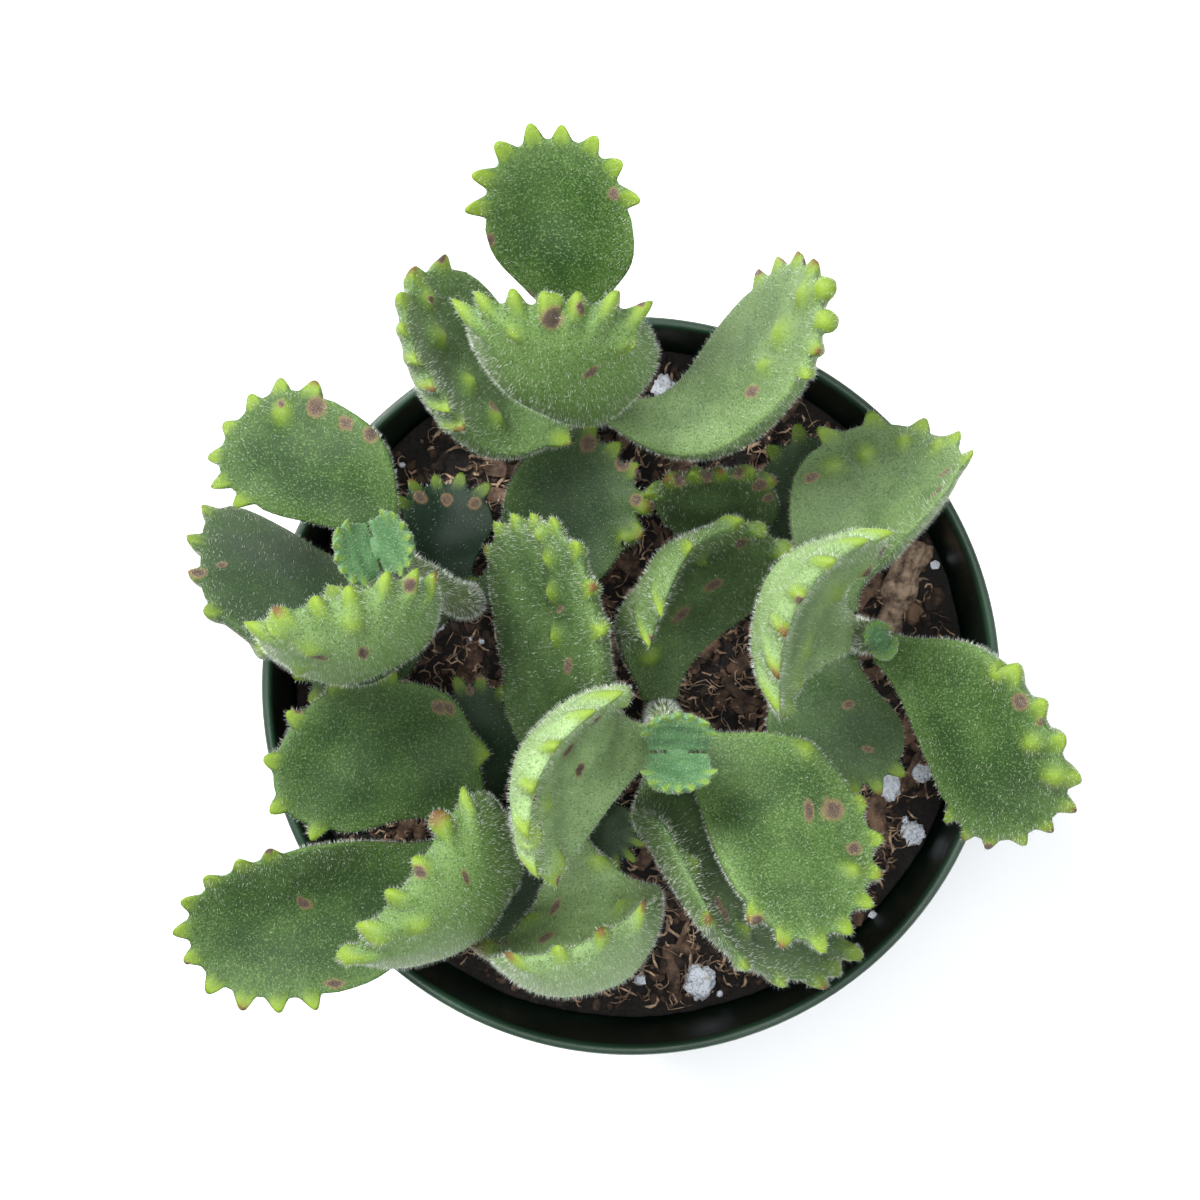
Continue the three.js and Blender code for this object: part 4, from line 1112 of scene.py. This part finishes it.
soil_sides = 220
turn = np.arange(soil_sides) / soil_sides * 2 * np.pi
rings = []
for radius in np.concatenate([[0.5], np.linspace(1.5, SOIL_EDGE, SOIL_RINGS)]):
    x, y = radius * np.cos(turn), radius * np.sin(turn)
    rings.append(np.stack([x, y, fine_soil(x, y)], 1))
for radius, level in SOIL_SIDE:
    rings.append(np.stack([radius * np.cos(turn), radius * np.sin(turn), 0 * turn + level], 1))
summit = float(fine_soil(np.zeros(1), np.zeros(1))[0])
points = np.vstack(rings[::-1] + [[(0, 0, SOIL_SIDE[-1][1])], [(0, 0, summit)]])
faces = ring_faces(len(rings), soil_sides)
soil = new_piece("soil_body", points, faces, SOIL, replaces="soil")
print("soil triangles:", len(soil.data.polygons))

# %% [markdown]
# Crumbs are small uneven lumps. One lump of twenty faces is copied as plain numbers: each copy
# gets its own stretch, turn and dents, so no two look alike.

# %% Crumbs
earth_random = np.random.default_rng(12)
GOLD = (1 + 5 ** 0.5) / 2
LUMP = unit(np.array([(-1, GOLD, 0), (1, GOLD, 0), (-1, -GOLD, 0), (1, -GOLD, 0), (0, -1, GOLD),
                      (0, 1, GOLD), (0, -1, -GOLD), (0, 1, -GOLD), (GOLD, 0, -1), (GOLD, 0, 1),
                      (-GOLD, 0, -1), (-GOLD, 0, 1)]))
LUMP_FACES = np.array([(0, 11, 5), (0, 5, 1), (0, 1, 7), (0, 7, 10), (0, 10, 11), (1, 5, 9),
                       (5, 11, 4), (11, 10, 2), (10, 7, 6), (7, 1, 8), (3, 9, 4), (3, 4, 2),
                       (3, 2, 6), (3, 6, 8), (3, 8, 9), (4, 9, 5), (2, 4, 11), (6, 2, 10),
                       (8, 6, 7), (9, 8, 1)])


def any_turns(count, random):
    q = unit(random.normal(0, 1, (count, 4)))
    w, x, y, z = q.T
    return np.stack([
        np.stack([1 - 2 * (y * y + z * z), 2 * (x * y - z * w), 2 * (x * z + y * w)], 1),
        np.stack([2 * (x * y + z * w), 1 - 2 * (x * x + z * z), 2 * (y * z - x * w)], 1),
        np.stack([2 * (x * z - y * w), 2 * (y * z + x * w), 1 - 2 * (x * x + y * y)], 1),
    ], 1)


def sown(count, reach, random):
    radius, angle = reach * np.sqrt(random.random(count)), random.uniform(0, 2 * np.pi, count)
    return radius * np.cos(angle), radius * np.sin(angle)


def lumps(x, y, z, sizes, random, stretch=(0.6, 1.3)):
    count = len(x)
    shape = LUMP * random.uniform(0.72, 1.25, (count, 12, 1)) * random.uniform(*stretch, (count, 1, 3))
    shape = np.einsum("nij,nkj->nki", any_turns(count, random), shape) * sizes[:, None, None]
    points = shape + np.stack([x, y, z], 1)[:, None]
    faces = np.arange(count)[:, None, None] * 12 + LUMP_FACES
    return points.reshape(-1, 3), faces.reshape(-1, 3)


CRUMB_REACH = 49.2
CRUMB_SIZES = (0.28, 1.18)
crumb_count = 3400
x, y = sown(crumb_count, CRUMB_REACH, earth_random)
sizes = mix(*CRUMB_SIZES, earth_random.random(crumb_count) ** 3)
points, faces = lumps(x, y, fine_soil(x, y) + 0.25 * sizes, sizes, earth_random)
new_piece("soil_crumbs", points, faces, CRUMB, soft=False)
print("crumbs:", crumb_count)

# %% [markdown]
# Shreds of bark, shreds of coir and fibres are all bent strands, from flat and thick to round and
# thin. Each is a short tube of few sides that starts somewhere on the soil and wanders.

# %% Bark and fibres
STRANDS = {
    "bark_shreds": (BARK, False, dict(count=230, reach=46, points_each=6, sides=6, long=(3, 10),
                                      thick=(0.5, 1.3), flat=0.4, bend=0.12, lift=(0.2, 1.2))),
    "coir_shreds": (FIBRE, False, dict(count=2400, reach=48, points_each=5, sides=3, long=(1, 4),
                                       thick=(0.1, 0.28), flat=0.6, bend=0.6, lift=(0.2, 2))),
    "coir_fibres": (FIBRE, True, dict(count=600, reach=48, points_each=8, sides=3, long=(2, 7),
                                      thick=(0.05, 0.1), flat=1.0, bend=0.4, lift=(0.3, 2.2))),
}
STRAND_EDGE = 49.4


def strands(random, count, reach, points_each, sides, long, thick, flat, bend, lift):
    x, y = sown(count, reach, random)
    heading = random.uniform(0, 2 * np.pi, count)
    step = random.uniform(*long, count) / (points_each - 1)
    curl = random.normal(0, bend, count)
    line = []
    for k in range(points_each):
        arch = math.sin(math.pi * k / (points_each - 1))
        line.append(np.stack([x, y, arch * np.ones(count)], 1))
        heading = heading + curl + random.normal(0, bend * 0.8, count)
        x, y = x + step * np.cos(heading), y + step * np.sin(heading)
    line = np.stack(line, 1)
    far = np.hypot(line[..., 0], line[..., 1])
    line[..., :2] *= np.minimum(1, STRAND_EDGE / np.maximum(far, 1e-6))[..., None]
    ground = fine_soil(line[..., 0].ravel(), line[..., 1].ravel()).reshape(count, points_each)
    line[..., 2] = ground + random.uniform(*lift, count)[:, None] * line[..., 2] + thick[0] * 0.6
    way = unit(np.gradient(line, axis=1))
    side = unit(np.cross(way, (0, 0, 1.0)))
    over = np.cross(side, way)
    radius = random.uniform(*thick, (count, 1, 1)) * random.uniform(0.75, 1.2, (count, points_each, 1))
    radius[:, 0] *= 0.45
    radius[:, -1] *= 0.3
    tilt = random.uniform(-0.5, 0.5, (count, 1, 1))
    side, over = side * np.cos(tilt) + over * np.sin(tilt), over * np.cos(tilt) - side * np.sin(tilt)
    rings = []
    for k in range(sides):
        a = 2 * math.pi * k / sides
        rings.append(line + radius * (math.cos(a) * side + flat * math.sin(a) * over))
    points = np.stack(rings, 2).reshape(count, -1, 3)
    faces = []
    for p in range(points_each - 1):
        for k in range(sides):
            a, b = p * sides + k, p * sides + (k + 1) % sides
            faces += [(a, b + sides, b), (a, a + sides, b + sides)]
    last = (points_each - 1) * sides
    faces += [(0, k, k + 1) for k in range(1, sides - 1)]
    faces += [(last, last + k + 1, last + k) for k in range(1, sides - 1)]
    each = np.arange(count)[:, None, None] * points_each * sides
    return points.reshape(-1, 3), (each + np.array(faces)).reshape(-1, 3)


for name, (finish, soft, kind) in STRANDS.items():
    points, faces = strands(earth_random, **kind)
    new_piece(name, points, faces, finish, soft=soft)
    print(name, "has", kind["count"], "strands")

# %% [markdown]
# ## Perlite
#
# Perlite is volcanic glass puffed up like popcorn: white, knobbly and full of pits. A ball with
# several layers of noise gives the knobs, and the finish bumps in the pits and paints them
# grey-blue as painted shade inside them.

# %% Perlite grains
PERLITE = {
    "perlite_grain_1": ((39, -15.5), (3.2, 4.4, 3)),
    "perlite_grain_2": ((44, -13.5), (2.8, 2.8, 2.4)),
    "perlite_grain_3": ((42.5, -22.5), (3.4, 3.6, 3)),
    "perlite_grain_4": ((10.5, -45), (4.4, 5, 3.2)),
    "perlite_grain_5": ((5, 44.5), (3.4, 3.8, 3)),
}
CRUMB_LEVEL = 70.5
SMALL_PERLITE = [(500, 500, 4), (402, 465, 3), (470, 640, 3), (482, 641, 3), (870, 808, 4),
                 (873, 915, 4), (935, 565, 5), (905, 820, 4), (640, 980, 6), (440, 627, 5),
                 (660, 385, 4), (720, 995, 4)]


def perlite_finish():
    material, tree, shader = new_finish("perlite_white", Roughness=0.8)
    patches, fine = grain(tree, 500.0, 3200.0)
    # Painted shade: the pits are painted dark grey-blue, as if in shadow.
    pit_shade = spread(tree, fine, 0.3, 0.48)
    colour = mixed(tree, pit_shade, (0.13, 0.15, 0.2), (0.7, 0.74, 0.82))
    colour = mixed(tree, spread(tree, patches, 0.55, 0.75), colour, (0.42, 0.38, 0.32))
    put(tree, colour, shader.inputs["Base Color"])
    put(tree, spread(tree, fine, 0.3, 0.7, 0.6, 0.95), shader.inputs["Roughness"])
    bump(tree, fine, shader, 0.0004, 0.9)
    return material


WHITE = perlite_finish()
for number, (name, ((gx, gy), size)) in enumerate(PERLITE.items()):
    points, faces = ball(np.zeros(3), 0.5, 26, 40)
    knobs = 1 + 0.38 * waves(points * 4, 1.1, 60 + number, 3)
    z = float(soil_height(gx, gy)) + 0.12 * size[2] + 0.35
    points = points * knobs[:, None] * size + (gx, gy, z)
    new_piece(name + "_fine", points, faces, WHITE, replaces=name)
px, py, radius = np.array(SMALL_PERLITE, float).T
per_step = (EYE[2] - CRUMB_LEVEL) / EYE_SCALE
x, y = (px - MIDDLE) * per_step + EYE[0], (MIDDLE - py) * per_step + EYE[1]
sizes = 0.165 * radius
points, faces = lumps(x, y, fine_soil(x, y) + 0.6 * sizes, sizes, earth_random, (0.85, 1.15))
new_piece("perlite_crumbs", points, faces, WHITE, soft=False)
print("perlite:", len(PERLITE), "grains and", len(SMALL_PERLITE), "crumbs")

# %% [markdown]
# ## The dried stem
#
# A flattened, split stub of an old stem lies half sunk in the soil. It is a tube squashed to two
# thirds of its width, with long ridges that follow its fibres.

# %% Build the dried stem
DRIED_FROM, DRIED_TO = (42.5, 21.5), (38.5, 8.0)
DRIED_HALF = (2.6, 1.7)
DRIED_LIFT, DRIED_FLAT, DRIED_SLANT = 1.1, 0.62, 0.3
steps, dried_sides = 44, 30
share = np.linspace(0, 1, steps)
x, y = (mix(DRIED_FROM[k], DRIED_TO[k], share) for k in (0, 1))
half = mix(*DRIED_HALF, share) + 0.35 * np.sin(2.3 * 6 * share)
lie = soil_height(x, y) + DRIED_LIFT
turn = np.arange(dried_sides) / dried_sides * 2 * np.pi
ridge = 1 + 0.12 * np.sin(turn * 5 + 1) + 0.1 * np.sin(turn * 9)
width = half[:, None] * ridge * np.cos(turn)
high = DRIED_FLAT * half[:, None] * ridge * np.sin(turn)
points = np.stack([x[:, None] + width, y[:, None] - DRIED_SLANT * width, lie[:, None] + high], -1)
points = points.reshape(-1, 3)
points += 0.18 * waves(points, 1.5, 9, 3)[:, None]
points = np.vstack([points, [(*DRIED_FROM, lie[0])], [(*DRIED_TO, lie[-1])]])
faces = ring_faces(steps, dried_sides)
WOOD = earth_finish("dried_wood", (0.05, 0.03, 0.02), (0.36, 0.26, 0.18), 600.0, 2000.0, 0.0004)
new_piece("dried_stem_bark", points, faces, WOOD, replaces="dried_stem")
print("dried stem steps:", steps)

# %% [markdown]
# ## Floor, light and camera
#
# The plant stands on white paper. A large soft lamp from the upper left models the leaves, one
# straight overhead hides its own shadows under the plant and keeps the paper white, and a weak
# third one and a plain pale world fill what is left. The eye looks straight down from half a
# metre above the rim with a long lens.

# %% The stage
AIM = (0, 0, 0.08)
LAMPS = (
    ("key", (-0.55, 0.6, 1.05), 0.5, 30, (1, 0.99, 0.96)),
    ("overhead", (0, 0.01, 1.6), 0.6, 16, (1, 1, 1)),
    ("fill", (0.6, -0.45, 1.1), 0.9, 6, (0.96, 0.98, 1)),
)
PAPER = 2
PAPER_DROP = -1e-4


def paper_finish():
    material, tree, shader = new_finish("paper", Roughness=0.9)
    patches, fine = grain(tree, 3.0, 400.0)
    put(tree, mixed(tree, patches, (0.86, 0.865, 0.87), (0.9, 0.905, 0.91)), shader.inputs["Base Color"])
    bump(tree, fine, shader, 0.00005, 0.3)
    return material


mesh = bpy.data.meshes.new("floor")
corners = [(x * PAPER, y * PAPER, PAPER_DROP) for x, y in ((-1, -1), (1, -1), (1, 1), (-1, 1))]
mesh.from_pydata(corners, [], [(0, 1, 2, 3)])
mesh.materials.append(paper_finish())
floor = bpy.data.objects.new("floor", mesh)
bpy.context.scene.collection.objects.link(floor)
floor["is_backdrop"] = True

world = bpy.data.worlds.new("studio")
bpy.context.scene.world = world
world.use_nodes = True
sky = world.node_tree.nodes["Background"]
sky.inputs["Color"].default_value = (0.88, 0.95, 1, 1)
sky.inputs["Strength"].default_value = 0.4


def lamp(name, place, size, power, colour):
    light = bpy.data.lights.new(name, "AREA")
    light.size, light.energy, light.color = size, power, colour
    holder = bpy.data.objects.new(name, light)
    bpy.context.scene.collection.objects.link(holder)
    holder.location = place
    holder.rotation_euler = (Vector(AIM) - Vector(place)).to_track_quat("-Z", "Y").to_euler()


for name, place, size, power, colour in LAMPS:
    lamp(name, place, size, power, colour)

camera = bpy.data.cameras.new("eye")
camera.lens, camera.sensor_width = 102.75, 36
camera.clip_start = 0.05
eye = bpy.data.objects.new("eye", camera)
eye.location = tuple(v * MM for v in EYE)
bpy.context.scene.collection.objects.link(eye)
bpy.context.scene.camera = eye
bpy.context.scene.view_settings.view_transform = "Standard"
print("camera at", tuple(round(v, 3) for v in eye.location))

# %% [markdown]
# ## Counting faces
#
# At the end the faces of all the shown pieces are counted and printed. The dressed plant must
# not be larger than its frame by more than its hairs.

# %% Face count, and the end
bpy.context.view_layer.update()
total = sum(len(o.data.polygons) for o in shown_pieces() if o.type == "MESH" and not o.hide_render)
print("faces in all:", total)
